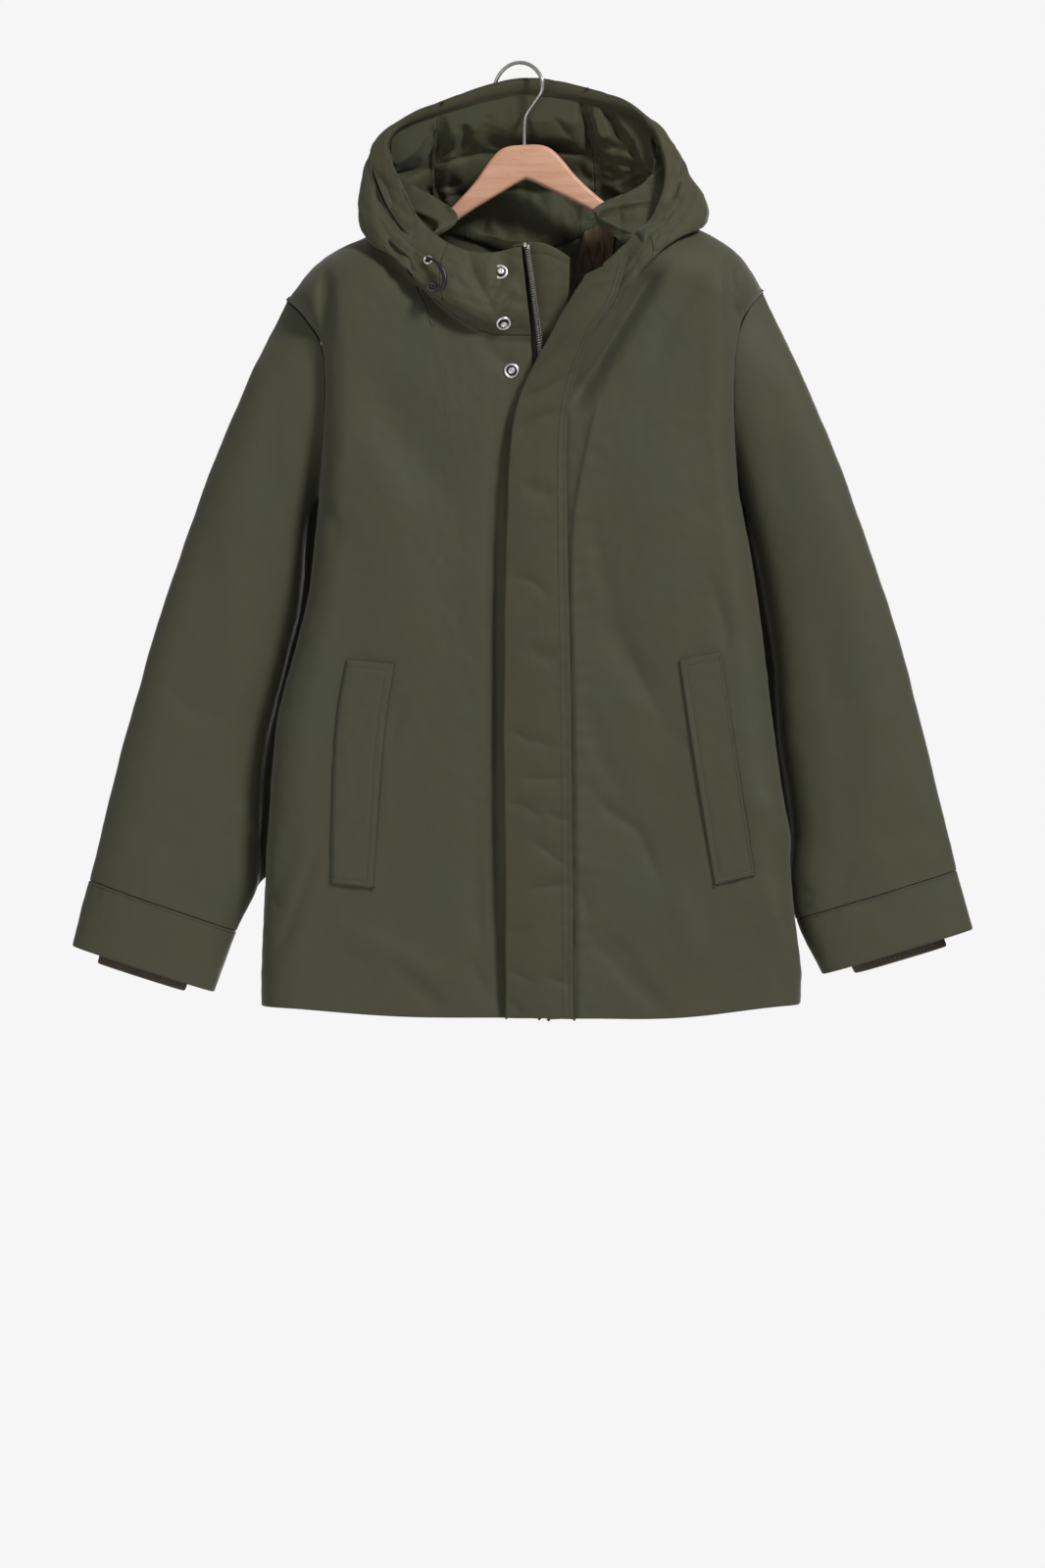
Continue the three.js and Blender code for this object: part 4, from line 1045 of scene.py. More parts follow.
@dataclass
class Cloth:
    """A piece of cloth cut from a face, with its folds and its finished edges."""

    face: Face
    us: tuple[float, float]
    vs: tuple[float, float]
    out: int
    relief: Relief | None = None
    lift: float = 0.0
    thick: float = 1.8
    step: float = 3.0
    step_up: float = 0.0
    borders: tuple[Border, Border, Border, Border] = (Border.SEAM,) * 4
    ring: bool = False
    roll: float = 0.9
    tuck: float = 4.0
    cut: tuple[float, float, float] = (0.0, 0.0, 0.0)

    def normal(self, u: Array, v: Array) -> Array:
        """The unit normal on the outer side."""
        d = 1e-4
        across = self.face(u + d, v) - self.face(u - d, v)
        up = self.face(u, v + d) - self.face(u, v - d)
        n = np.cross(across, up)
        return self.out * n / np.maximum(np.linalg.norm(n, axis=-1, keepdims=True), 1e-9)

    def place(self, u: Array, v: Array, over: float = 0.0) -> tuple[Array, Array]:
        """Finished places on the cloth, for what is sewn on it.

        Args:
            u: across the face.
            v: up the face.
            over: how far out of the cloth, in mm.

        Returns:
            The points and their normals.
        """
        u, v = np.broadcast_arrays(np.asarray(u, float), np.asarray(v, float))
        base, normal = self.face(u, v), self.normal(u, v)
        rise = self.lift + over + (self.relief(base, u, v) if self.relief else 0.0)
        return base + normal * np.asarray(rise)[..., None], normal

    def build(self, name: str) -> bpy.types.Object:
        """Cuts, folds and thickens the cloth.

        Args:
            name: the piece's name.

        Returns:
            The piece's object, with its own UV map in metres.
        """
        (u0, u1), (v0, v1) = self.us, self.vs
        finished = [b is not Border.RAW for b in self.borders]
        um, vm = (u0 + u1) / 2, (v0 + v1) / 2
        ends_u, ends_v = (finished[0], finished[1]), (finished[2], finished[3])
        us = spaced(lambda t: self.face(t, np.full(t.shape, vm)), u0, u1, self.step, ends_u)
        rise = self.step_up or self.step
        vs = spaced(lambda t: self.face(np.full(t.shape, um), t), v0, v1, rise, ends_v)
        if self.ring:
            us = np.linspace(u0, u1, len(us))[:-1]
        u, v = np.meshgrid(us, vs)
        base, normal = self.face(u, v), self.normal(u, v)
        rise = np.full(u.shape, self.lift)
        if self.relief:
            rise = rise + self.relief(base, u, v)
        across = np.linalg.norm(np.diff(base, axis=1), axis=-1)
        up = np.linalg.norm(np.diff(base, axis=0), axis=-1)
        self.cut = self.measure(base)
        run_u = np.concatenate([np.zeros((len(vs), 1)), np.cumsum(across, axis=1)], axis=1)
        run_v = np.concatenate([np.zeros((1, len(us))), np.cumsum(up, axis=0)], axis=0)
        gaps = [run_u, run_u[:, -1:] - run_u, run_v, run_v[-1:] - run_v]
        # Distance to the nearest finished edge, kept as the attribute that the cloth's material darkens by:
        # seam dirt with painted seam shade.
        edge = np.full(u.shape, 50.0)
        drop = np.zeros(u.shape)
        for gap, border in zip(gaps, self.borders):
            if border is Border.RAW:
                continue
            edge = np.minimum(edge, gap)
            wide = self.roll * (1.5 if border is Border.TURNED else 1.0)
            share = clamp01(1 - gap / (1.8 * wide))
            drop = np.maximum(drop, wide * (1 - np.sqrt(np.maximum(0, 1 - share**2))))
        points = base + normal * (rise - drop)[..., None]
        middle = run_u[len(vs) // 2]
        uv_up = run_v[:, len(us) // 2][:, None] * MM + 0 * u
        uv = np.stack([np.broadcast_to(middle[None], u.shape) * MM, uv_up], -1)
        grids = [points, uv, edge[..., None], normal]
        for side, border in enumerate(self.borders):
            if border is Border.RAW or (self.ring and side < 2):
                continue
            depth = self.tuck * (0.7 if border is Border.TURNED else 1.0)
            grids = self.tucked(grids, side, depth)
        return self.assemble(name, grids)

    def measure(self, base: Array) -> tuple[float, float, float]:
        """The cut's width and length in metres and its area in square metres."""
        rows = np.concatenate([base, base[:, :1]], axis=1) if self.ring else base
        across, up = np.diff(rows, axis=1), np.diff(rows, axis=0)
        wide = np.linalg.norm(across, axis=-1).sum(axis=1).max() * MM
        long = np.linalg.norm(up, axis=-1).sum(axis=0).max() * MM
        area = np.linalg.norm(np.cross(across[:-1], up[:, :-1]), axis=-1).sum() * MM * MM
        return float(wide), float(long), float(area)

    def tucked(self, grids: list[Array], side: int, depth: float) -> list[Array]:
        """Adds the narrow turning behind one side's edge."""
        points, uv, edge, normal = grids
        axis, last = (1, side == 1) if side < 2 else (0, side == 3)
        take = (slice(None), slice(-1, None)) if axis == 1 and last else (slice(None), slice(0, 1))
        if axis == 0:
            take = (slice(-1, None), slice(None)) if last else (slice(0, 1), slice(None))
        made = []
        for share in (0.5, 1.0):
            rows = [
                points[take] - normal[take] * depth * share,
                uv[take],
                edge[take] * 0,
                normal[take],
            ]
            made.append(rows)
        out = []
        for k, grid in enumerate(grids):
            near, far = made[0][k], made[1][k]
            parts = [grid, near, far] if last else [far, near, grid]
            out.append(np.concatenate(parts, axis=axis))
        return out

    def assemble(self, name: str, grids: list[Array]) -> bpy.types.Object:
        """Turns the sampled grids into a walled mesh."""
        points, uv, edge, _ = grids
        rows, columns = points.shape[:2]
        index = np.arange(rows * columns).reshape(rows, columns)
        if self.ring:
            index = np.concatenate([index, index[:, :1]], axis=1)
        a, b = index[:-1, :-1], index[:-1, 1:]
        c, d = index[1:, 1:], index[1:, :-1]
        order = (a, b, c, d) if self.out > 0 else (a, d, c, b)
        quads = np.stack(order, axis=-1).reshape(-1, 4)
        obj = new_object(name, points.reshape(-1, 3), quads)
        mesh = obj.data
        if self.ring:
            width = uv[0, 1, 0] - uv[0, 0, 0]
            spread = np.concatenate([uv, uv[:, -1:] + [width, 0]], axis=1)
        else:
            spread = uv
        corners = [spread[:-1, :-1], spread[:-1, 1:], spread[1:, 1:], spread[1:, :-1]]
        if self.out < 0:
            corners = [corners[0], corners[3], corners[2], corners[1]]
        layer = mesh.uv_layers.new(name="cloth")
        flat = np.stack(corners, axis=2).reshape(-1, 2)
        layer.data.foreach_set("uv", flat.astype(np.float32).ravel())
        marks = mesh.attributes.new("edge", "FLOAT", "POINT")
        marks.data.foreach_set("value", (edge.reshape(-1) * MM).astype(np.float32))
        apply_modifier(obj, "SOLIDIFY", thickness=self.thick * MM, offset=-1.0, use_rim=True)
        return obj


# ---- Small repeated things ----------------------------------------------------------------
def edit(obj: bpy.types.Object) -> None:
    """Opens one object for editing with nothing selected."""
    only(obj)
    bpy.ops.object.mode_set(mode="EDIT")
    bpy.ops.mesh.select_all(action="DESELECT")


def close_edit() -> None:
    """Leaves edit mode."""
    bpy.ops.object.mode_set(mode="OBJECT")


def choose(obj: bpy.types.Object, kind: str, test: Callable[[Vector], bool]) -> None:
    """Selects parts of the open mesh by their place.

    Args:
        obj: the object being edited.
        kind: "verts", "edges" or "faces".
        test: says whether a part's middle, in mm, is wanted.
    """
    bpy.ops.object.mode_set(mode="OBJECT")
    mesh = obj.data
    groups = {"verts": mesh.vertices, "edges": mesh.edges, "faces": mesh.polygons}
    for group in groups.values():
        group.foreach_set("select", np.zeros(len(group), bool))
    for item in groups[kind]:
        if kind == "verts":
            middle = item.co
        elif kind == "faces":
            middle = item.center
        else:
            middle = (mesh.vertices[item.vertices[0]].co + mesh.vertices[item.vertices[1]].co) / 2
        item.select = bool(test(middle / MM))
    bpy.ops.object.mode_set(mode="EDIT")
    bpy.ops.mesh.select_mode(type={"verts": "VERT", "edges": "EDGE", "faces": "FACE"}[kind])


def turned(name: str, profile: Sequence[tuple[float, float]], sides: int = 40) -> bpy.types.Object:
    """Turns a round thing from a circle, ring by ring.

    Args:
        name: the object's name.
        profile: (radius, height) in mm from the outer foot inwards.
        sides: how many sides the circle has.

    Returns:
        The object, standing on z = 0 round the z axis.
    """
    (radius, height), *rest = profile
    bpy.ops.object.select_all(action="DESELECT")
    bpy.ops.mesh.primitive_circle_add(vertices=sides, radius=radius * MM, location=(0, 0, height * MM))
    obj = bpy.context.object
    obj.name = obj.data.name = name
    bpy.ops.object.transform_apply(location=True)
    bpy.ops.object.mode_set(mode="EDIT")
    bpy.ops.mesh.select_all(action="SELECT")
    for new_radius, new_height in rest:
        bpy.ops.mesh.extrude_region_move(
            TRANSFORM_OT_translate={"value": (0, 0, (new_height - height) * MM)}
        )
        scale = max(new_radius, 0.001) / radius
        bpy.ops.transform.resize(value=(scale, scale, 1), center_override=(0, 0, new_height * MM))
        radius, height = max(new_radius, 0.001), new_height
    bpy.ops.mesh.select_all(action="SELECT")
    bpy.ops.mesh.remove_doubles(threshold=0.00001)
    bpy.ops.mesh.normals_make_consistent(inside=False)
    close_edit()
    bpy.ops.object.shade_smooth_by_angle(angle=math.radians(40))
    return obj


def seat(obj: bpy.types.Object, place: Array, axis: Array) -> None:
    """Moves a thing made round +Z onto a place, its axis along `axis`."""
    turn = Vector((0, 0, 1)).rotation_difference(Vector(axis.tolist())).to_matrix().to_4x4()
    obj.data.transform(Matrix.Translation(Vector((place * MM).tolist())) @ turn)
    obj.data.update()


def stamp(name: str, pattern: bpy.types.Object, places: Array, along: Array, up: Array) -> bpy.types.Object:
    """Repeats a small thing at many places in one mesh, and removes the first one.

    Args:
        name: the new object's name.
        pattern: the thing, made round its own origin with its length on x.
        places: where its origin goes, in mm.
        along: unit vectors for its x.
        up: unit vectors for its z.

    Returns:
        The object that holds every copy.
    """
    mesh = pattern.data
    shape = np.empty(len(mesh.vertices) * 3)
    mesh.vertices.foreach_get("co", shape)
    shape = shape.reshape(-1, 3) / MM
    along = along / np.linalg.norm(along, axis=-1, keepdims=True)
    sideways = np.cross(up, along)
    sideways /= np.linalg.norm(sideways, axis=-1, keepdims=True)
    upright = np.cross(along, sideways)
    points = (
        places[:, None]
        + shape[None, :, 0:1] * along[:, None]
        + shape[None, :, 1:2] * sideways[:, None]
        + shape[None, :, 2:3] * upright[:, None]
    )
    rings = [list(p.vertices) for p in mesh.polygons]
    faces = [[i + k * len(shape) for i in ring] for k in range(len(places)) for ring in rings]
    obj = new_object(name, points.reshape(-1, 3), faces)
    bpy.data.objects.remove(pattern)
    return obj


def wire(name: str, line: Array, radii: Array) -> bpy.types.Object:
    """Makes an open round curve along a line in mm."""
    data = bpy.data.curves.new(name, "CURVE")
    data.dimensions = "3D"
    data.bevel_depth = MM
    data.bevel_resolution = 5
    data.use_fill_caps = True
    spline = data.splines.new("POLY")
    spline.points.add(len(line) - 1)
    for point, place, radius in zip(spline.points, line, radii):
        point.co = (*(place * MM), 1)
        point.radius = float(radius)
    obj = bpy.data.objects.new(name, data)
    bpy.context.scene.collection.objects.link(obj)
    return obj


def even(points: Array, pitch: float) -> Array:
    """Places along a run of points, as shares of its rows, a pitch apart."""
    run = run_along(points)
    count = max(2, int(run[-1] / pitch))
    marks = (np.arange(count) + 0.5) * run[-1] / count
    return np.interp(marks, run, np.arange(len(points)))


@dataclass
class Sewing:
    """Rows of lockstitch in one thread."""

    long: float = 2.7
    pitch: float = 3.5
    width: float = 0.55

    def stitch(self) -> bpy.types.Object:
        """Models one stitch: a short thread, rounded at both ends."""
        bpy.ops.object.select_all(action="DESELECT")
        bpy.ops.mesh.primitive_cylinder_add(
            vertices=6, radius=self.width / 2 * MM, depth=self.long * MM, rotation=(0, math.pi / 2, 0)
        )
        obj = bpy.context.object
        bpy.ops.object.transform_apply(rotation=True)
        edit(obj)
        reach = self.long / 2
        choose(obj, "edges", lambda m: abs(m.x) > reach * 0.95)
        bpy.ops.mesh.bevel(offset=0.16 * MM, segments=1, affect="EDGES")
        close_edit()
        return obj

    def rows(self, name: str, runs: Sequence[tuple[Array, Array]]) -> bpy.types.Object:
        """Lays stitches along runs of places.

        Args:
            name: the piece's name.
            runs: points and normals along each row, in mm.

        Returns:
            The stitches as one object.
        """
        places, along, up = [], [], []
        for points, normals in runs:
            at = even(points, self.pitch)
            order = np.arange(len(points))
            place = np.stack([np.interp(at, order, points[:, k]) for k in range(3)], -1)
            ahead = np.stack([np.interp(at + 0.3, order, points[:, k]) for k in range(3)], -1)
            behind = np.stack([np.interp(at - 0.3, order, points[:, k]) for k in range(3)], -1)
            normal = np.stack([np.interp(at, order, normals[:, k]) for k in range(3)], -1)
            places.append(place)
            along.append(ahead - behind)
            up.append(normal)
        joined = [np.concatenate(group) for group in (places, along, up)]
        return stamp(name, self.stitch(), *joined)


def declare(cloth: Cloth) -> None:
    """Reads a hung sheet's cut, its face laid flat; nothing is done with it.

    Args:
        cloth: the cloth that it was made from.
    """
    wide, long, area = cloth.cut


def hang(
    cloth: Cloth,
    name: str,
    look: bpy.types.Material,
    kind: str = "cloth",
) -> None:
    """Makes the cloth piece that stands for one CAD node.

    Args:
        cloth: the cloth to build.
        name: the CAD node's name.
        look: its material.
        kind: the last word of the piece's name.
    """
    piece = finish_piece(cloth.build(f"{name}_{kind}"), look, [name])
    declare(cloth)


# How far in mm a row of stitches lies over its cloth.
STITCH_RISE = 0.1


def stitch_rows(name: str, runs: Sequence[tuple[Array, Array]]) -> None:
    """Sews rows of olive lockstitch as one piece."""
    finish_piece(Sewing().rows(name, runs), OLIVE_THREAD.material())


# ---- Body ---------------------------------------------------------------------------------
# A fold's row gives its kind, its half width and depth in mm, and its line's (x, z) places.
FOLDS_FRONT_RIGHT = folds(
    (V, 9, 3.6, (-20, -300), (-21, -480), (-20, -800), (-18, -1010)),
    (V, 13, 1.4, (-34, -660), (-41, -800), (-38, -975)),
    (C, 7, 1.4, (-38, -805), (-40, -870), (-36, -905)),
    (C, 7, 1.3, (-52, -905), (-35, -938), (-25, -958)),
    (R, 16, 2.0, (-205, -865), (-140, -900), (-100, -925), (-50, -935)),
    (V, 10, 1.7, (-145, -895), (-105, -935), (-60, -975)),
    (V, 13, 2.0, (-215, -760), (-240, -830), (-258, -900)),
    (C, 8, 2.3, (-197, -780), (-222, -850), (-235, -885), (-258, -925)),
    (C, 6, 1.4, (-262, -835), (-242, -865)),
    (V, 9, 1.2, (-140, -705), (-110, -640)),
    (V, 9, 1.2, (-206, -445), (-185, -470), (-181, -500)),
    (V, 22, 1.4, (-90, -735), (-115, -785), (-150, -850)),
    (V, 10, 1.6, (-40, -282), (-2, -322)),
    (V, 26, 3.0, (-160, -300), (-120, -380), (-60, -470)),
    (R, 40, 2.4, (-150, -330), (-120, -520), (-110, -700)),
    (C, 7, 2.2, (-196, -196), (-200, -229), (-201, -246), (-198, -300)),
    (V, 12, 3.6, (-176, -170), (-130, -205), (-93, -238), (-56, -268), (-30, -280)),
    (V, 7, 1.5, (-190, -210), (-195, -285)),
)
FOLDS_FRONT_LEFT = folds(
    (C, 5, 1.2, (44, -360), (54, -341), (76, -313), (99, -277), (122, -239), (142, -213), (170, -190)),
    (R, 9, 0.8, (54, -334), (70, -306), (90, -268), (110, -236)),
    (V, 12, 1.5, (198, -195), (150, -270), (130, -330)),
    (V, 9, 1.1, (72, -450), (85, -520), (97, -580)),
    (V, 14, 1.9, (78, -540), (110, -610), (150, -665)),
    (C, 10, 1.3, (92, -560), (150, -680), (185, -705)),
    (V, 10, 1.4, (66, -630), (80, -700), (113, -765)),
    (C, 9, 2.3, (62, -722), (90, -760), (120, -780), (135, -815), (152, -848)),
    (C, 8, 1.5, (56, -826), (74, -872)),
    (V, 11, 2.0, (58, -872), (100, -915), (130, -945), (160, -980)),
    (C, 8, 1.3, (82, -880), (125, -920)),
    (R, 13, 1.6, (160, -830), (182, -925)),
    (R, 13, 2.2, (238, -730), (265, -785), (280, -815)),
    (R, 12, 2.4, (252, -820), (265, -880), (280, -930), (290, -970)),
    (C, 8, 1.8, (190, -515), (210, -580), (208, -615)),
    (R, 14, 1.4, (186, -620), (172, -700)),
    (R, 40, 2.2, (150, -330), (140, -500), (130, -640)),
    (C, 7, 2.2, (211, -188), (216, -240), (223, -257), (230, -285)),
    (V, 7, 1.6, (223, -218), (229, -275)),
)
FOLDS_BACK = folds(
    (V, 26, 3.4, (-120, -210), (-100, -400), (-130, -620)),
    (V, 24, 3.0, (140, -220), (118, -380), (150, -560)),
    (C, 10, 2.2, (-200, -520), (-150, -640), (-110, -700)),
    (C, 10, 2.4, (210, -500), (160, -610), (90, -690)),
    (V, 18, 2.4, (-60, -620), (-80, -800), (-70, -990)),
    (V, 16, 2.6, (60, -560), (84, -760), (60, -990)),
    (C, 9, 2.0, (-240, -760), (-190, -850), (-170, -960)),
    (R, 16, 2.2, (200, -720), (190, -860), (205, -990)),
    (C, 9, 1.8, (250, -780), (215, -850), (200, -930)),
    (V, 14, 2.0, (-20, -230), (-36, -330), (0, -430)),
    (C, 8, 1.8, (-190, -250), (-150, -330), (-135, -420)),
    (C, 8, 1.8, (205, -250), (165, -330), (150, -430)),
)

WELT_RIGHT = ((-147, -839), (-189, -834), (-173, -608), (-125, -613))
WELT_LEFT = ((198, -836), (238, -826), (204, -601), (162, -609))


def inside_welt(corners: Sequence[tuple[float, float]], x: Array, z: Array, soft: float) -> Array:
    """How far inside a pocket welt's outline a place is, 0 outside to 1 well inside."""
    points = np.array(corners, float)
    share = np.ones(x.shape)
    middle = points.mean(axis=0)
    for a, b in zip(points, np.roll(points, -1, axis=0)):
        edge = (b - a) / np.hypot(*(b - a))
        side = np.sign((middle[0] - a[0]) * edge[1] - (middle[1] - a[1]) * edge[0])
        off = side * ((x - a[0]) * edge[1] - (z - a[1]) * edge[0])
        share = np.minimum(share, smooth(0.5 + off / soft))
    return share


@dataclass
class Body:
    """The two fronts and the back."""

    swell: float = 2.2
    grain: float = 0.38
    thick: float = 2.0

    def drape(self, group: Sequence[Fold], seed: int, x: Array, z: Array) -> Array:
        """A panel's folds, its soft swell and its fine crumples."""
        rise = 2.0 * folded(group, x, z)
        rise = rise + self.swell * noise(x / 120 + seed, z / 170, seed)
        rise = rise + 0.5 * noise(x / 38, z / 46 + seed, seed + 1)
        return rise + self.grain * noise(x / 11, z / 15, seed + 2)

    def at_seam(self, u: Array) -> Array:
        """How free the cloth is to rise, from almost held at the side seam to 1."""
        return 1 - 0.75 * np.exp(-(1 - np.abs(u)) / 0.03)

    def side_puckers(self, v: Array, u: Array, z: Array, seed: int) -> Array:
        """Short wrinkles that run in from the side seam and up from the hem."""
        near = np.exp(-(1 - np.abs(u)) / 0.12)
        hem = np.exp(-v / 0.03)
        return 0.7 * near * noise(z / 17, u * 3, seed) + 0.5 * hem * noise(u * 14, v * 20, seed + 9)

    def relief_right(self, p: Array, u: Array, v: Array) -> Array:
        """The right front's rise, flat under its pocket welt and beneath the placket."""
        x, z = p[..., 0], p[..., 2]
        rise = self.drape(FOLDS_FRONT_RIGHT, 3, x, z) + self.side_puckers(v, u, z, 5)
        under = smooth((x + 20) / 12)
        rise = mix(rise, np.minimum(rise, 0) - 1.5, under)
        collar = np.exp(-(((z - HOOD.value("nz", clamp01(HNP_RIGHT * u / 0.32))) / 14) ** 2))
        rise = rise - 1.2 * collar * smooth((0.33 - u) / 0.08)
        rise = rise * smooth((1 - v) / 0.05) * self.at_seam(u)
        return rise * (1 - 0.85 * inside_welt(WELT_RIGHT, x, z, 14))

    def relief_left(self, p: Array, u: Array, v: Array) -> Array:
        """The left front's rise: up to meet the placket's sewn edge, flat under its welt."""
        x, z = p[..., 0], p[..., 2]
        rise = self.drape(FOLDS_FRONT_LEFT, 13, x, z) + self.side_puckers(v, u, z, 15)
        sewn = PLACKET.value("sewn", clamp01((z - PLACKET_FOOT) / PLACKET_TALL))
        off = x - sewn
        under = smooth((1.5 - off) / 4)
        rise = mix(rise, np.minimum(rise, 0) - 0.5, under)
        lift = 3.4 * smooth((off - 1.0) / 6) * np.exp(-np.maximum(off - 6, 0) / 24)
        pull = 1.6 * noise(z / 13, x / 40 + 2.5, 23) * np.exp(-np.maximum(off, 0) / 22)
        rise = rise + (lift + pull * smooth(off / 3)) * smooth((-330 - z) / 60)
        rise = rise * smooth((1 - v) / 0.05) * self.at_seam(u)
        return rise * (1 - 0.85 * inside_welt(WELT_LEFT, x, z, 14))

    def relief_back(self, p: Array, u: Array, v: Array) -> Array:
        """The back's rise."""
        x, z = p[..., 0], p[..., 2]
        rise = self.drape(FOLDS_BACK, 33, x, z) + self.side_puckers(v, u, z, 35)
        return rise * smooth((1 - v) / 0.12) * self.at_seam(u)

    def front(self, right: bool) -> Cloth:
        """A front's cloth, from the zip to the side seam and from the hem to the neck."""
        half = FRONT_RIGHT if right else FRONT_LEFT
        return Cloth(
            half.face,
            (0.0002, 0.9998),
            (0.0, 0.9998),
            -1 if right else 1,
            self.relief_right if right else self.relief_left,
            thick=self.thick,
            step=2.8,
            borders=(Border.TURNED, Border.SEAM, Border.TURNED, Border.SEAM),
        )

    def back(self) -> Cloth:
        """The back's cloth."""
        return Cloth(
            back_face,
            (-0.9998, 0.9998),
            (0.0, 0.9998),
            -1,
            self.relief_back,
            thick=self.thick,
            step=3.9,
            borders=(Border.SEAM, Border.SEAM, Border.TURNED, Border.RAW),
        )

    def build(self) -> None:
        """Cuts and hangs the three panels."""
        look = SHELL.material()
        for name, cloth in (("front_right", self.front(True)), ("front_left", self.front(False))):
            hang(cloth, name, look)
        hang(self.back(), "back_panel", look)


# ---- Hood ---------------------------------------------------------------------------------
FOLDS_HOOD = folds(
    (V, 7, 1.8, (-149, -92), (-140, -135), (-122, -166), (-96, -186)),
    (C, 6, 1.5, (-147, -104), (-128, -140), (-102, -168)),
    (C, 5, 1.8, (-54, -190), (-44, -222), (-30, -246), (-17, -272)),
    (C, 5, 1.6, (-3, -236), (-13, -252), (-17, -272)),
    (C, 7, 1.8, (-8, -206), (-22, -236), (-34, -256)),
    (V, 10, 1.4, (-20, -190), (-8, -230)),
    (C, 6, 1.3, (-110, -184), (-104, -204), (-110, -226)),
    (V, 8, 1.2, (-130, -178), (-118, -210)),
    (C, 6, 1.4, (70, -256), (98, -232), (128, -198)),
    (C, 5, 1.2, (86, -222), (104, -226), (112, -212)),
    (V, 7, 1.3, (76, -240), (96, -212), (122, -186)),
    (C, 6, 1.2, (150, -150), (158, -130), (168, -118)),
    (V, 8, 1.4, (172, -96), (176, -124), (166, -152)),
    (C, 6, 1.2, (140, -176), (156, -170), (170, -160)),
)
FOLDS_LINING = folds(
    (C, 5, 3.4, (-113, -54), (-110, -68), (-113, -84)),
    (C, 5, 3.0, (-134, -76), (-122, -71), (-112, -74)),
    (C, 5, 4.0, (-94, -58), (-85, -72), (-80, -84), (-68, -88)),
    (R, 9, 3.5, (-104, -52), (-98, -66), (-97, -80)),
    (V, 6, 6.0, (-57, -54), (-54, -70), (-56, -88)),
    (V, 6, 6.5, (-126, -113), (-103, -99), (-75, -85), (-54, -82)),
    (V, 5, 5.0, (-58, -82), (-29, -79), (7, -81), (51, -81), (74, -88)),
    (C, 5, 4.5, (-92, -128), (-75, -120), (-54, -115)),
    (V, 5, 6.0, (-109, -131), (-95, -126), (-83, -131), (-75, -147), (-66, -168)),
    (R, 10, 3.0, (-78, -94), (-66, -102), (-52, -104)),
    (V, 8, 3.0, (-45, -62), (-26, -74), (-6, -79)),
    (C, 5, 2.2, (30, -44), (42, -60), (60, -79)),
    (V, 6, 7.0, (63, -33), (66, -47), (73, -60), (75, -88)),
    (R, 7, 5.0, (71, -40), (80, -58), (86, -80)),
    (V, 6, 9.0, (88, -32), (93, -50), (99, -63), (113, -85)),
    (R, 8, 4.0, (104, -50), (118, -64), (128, -80)),
    (V, 5, 6.0, (108, -42), (131, -60), (146, -80)),
    (V, 6, 7.0, (85, -85), (97, -82), (119, -89), (134, -87)),
    (V, 6, 8.0, (139, -70), (141, -84), (141, -98)),
    (R, 6, 5.0, (92, -92), (111, -89), (131, -94), (144, -108)),
    (V, 6, 5.0, (92, -96), (97, -110), (90, -121)),
    (C, 4, 4.5, (96, -118), (110, -112), (118, -107), (112, -102)),
    (V, 5, 6.0, (98, -125), (115, -119), (133, -110)),
    (C, 5, 3.5, (106, -128), (102, -150), (104, -182)),
    (C, 5, 4.0, (131, -117), (137, -139), (126, -162)),
    (V, 6, 4.0, (62, -92), (65, -107), (78, -120)),
    (R, 7, 3.0, (7, -126), (14, -138), (25, -152)),
    (V, 7, 2.5, (0, -136), (-12, -152), (-30, -160)),
    (C, 4, 2.8, (-42, -182), (-38, -167), (-27, -144)),
    (C, 4, 2.8, (77, -182), (74, -160), (68, -147)),
)


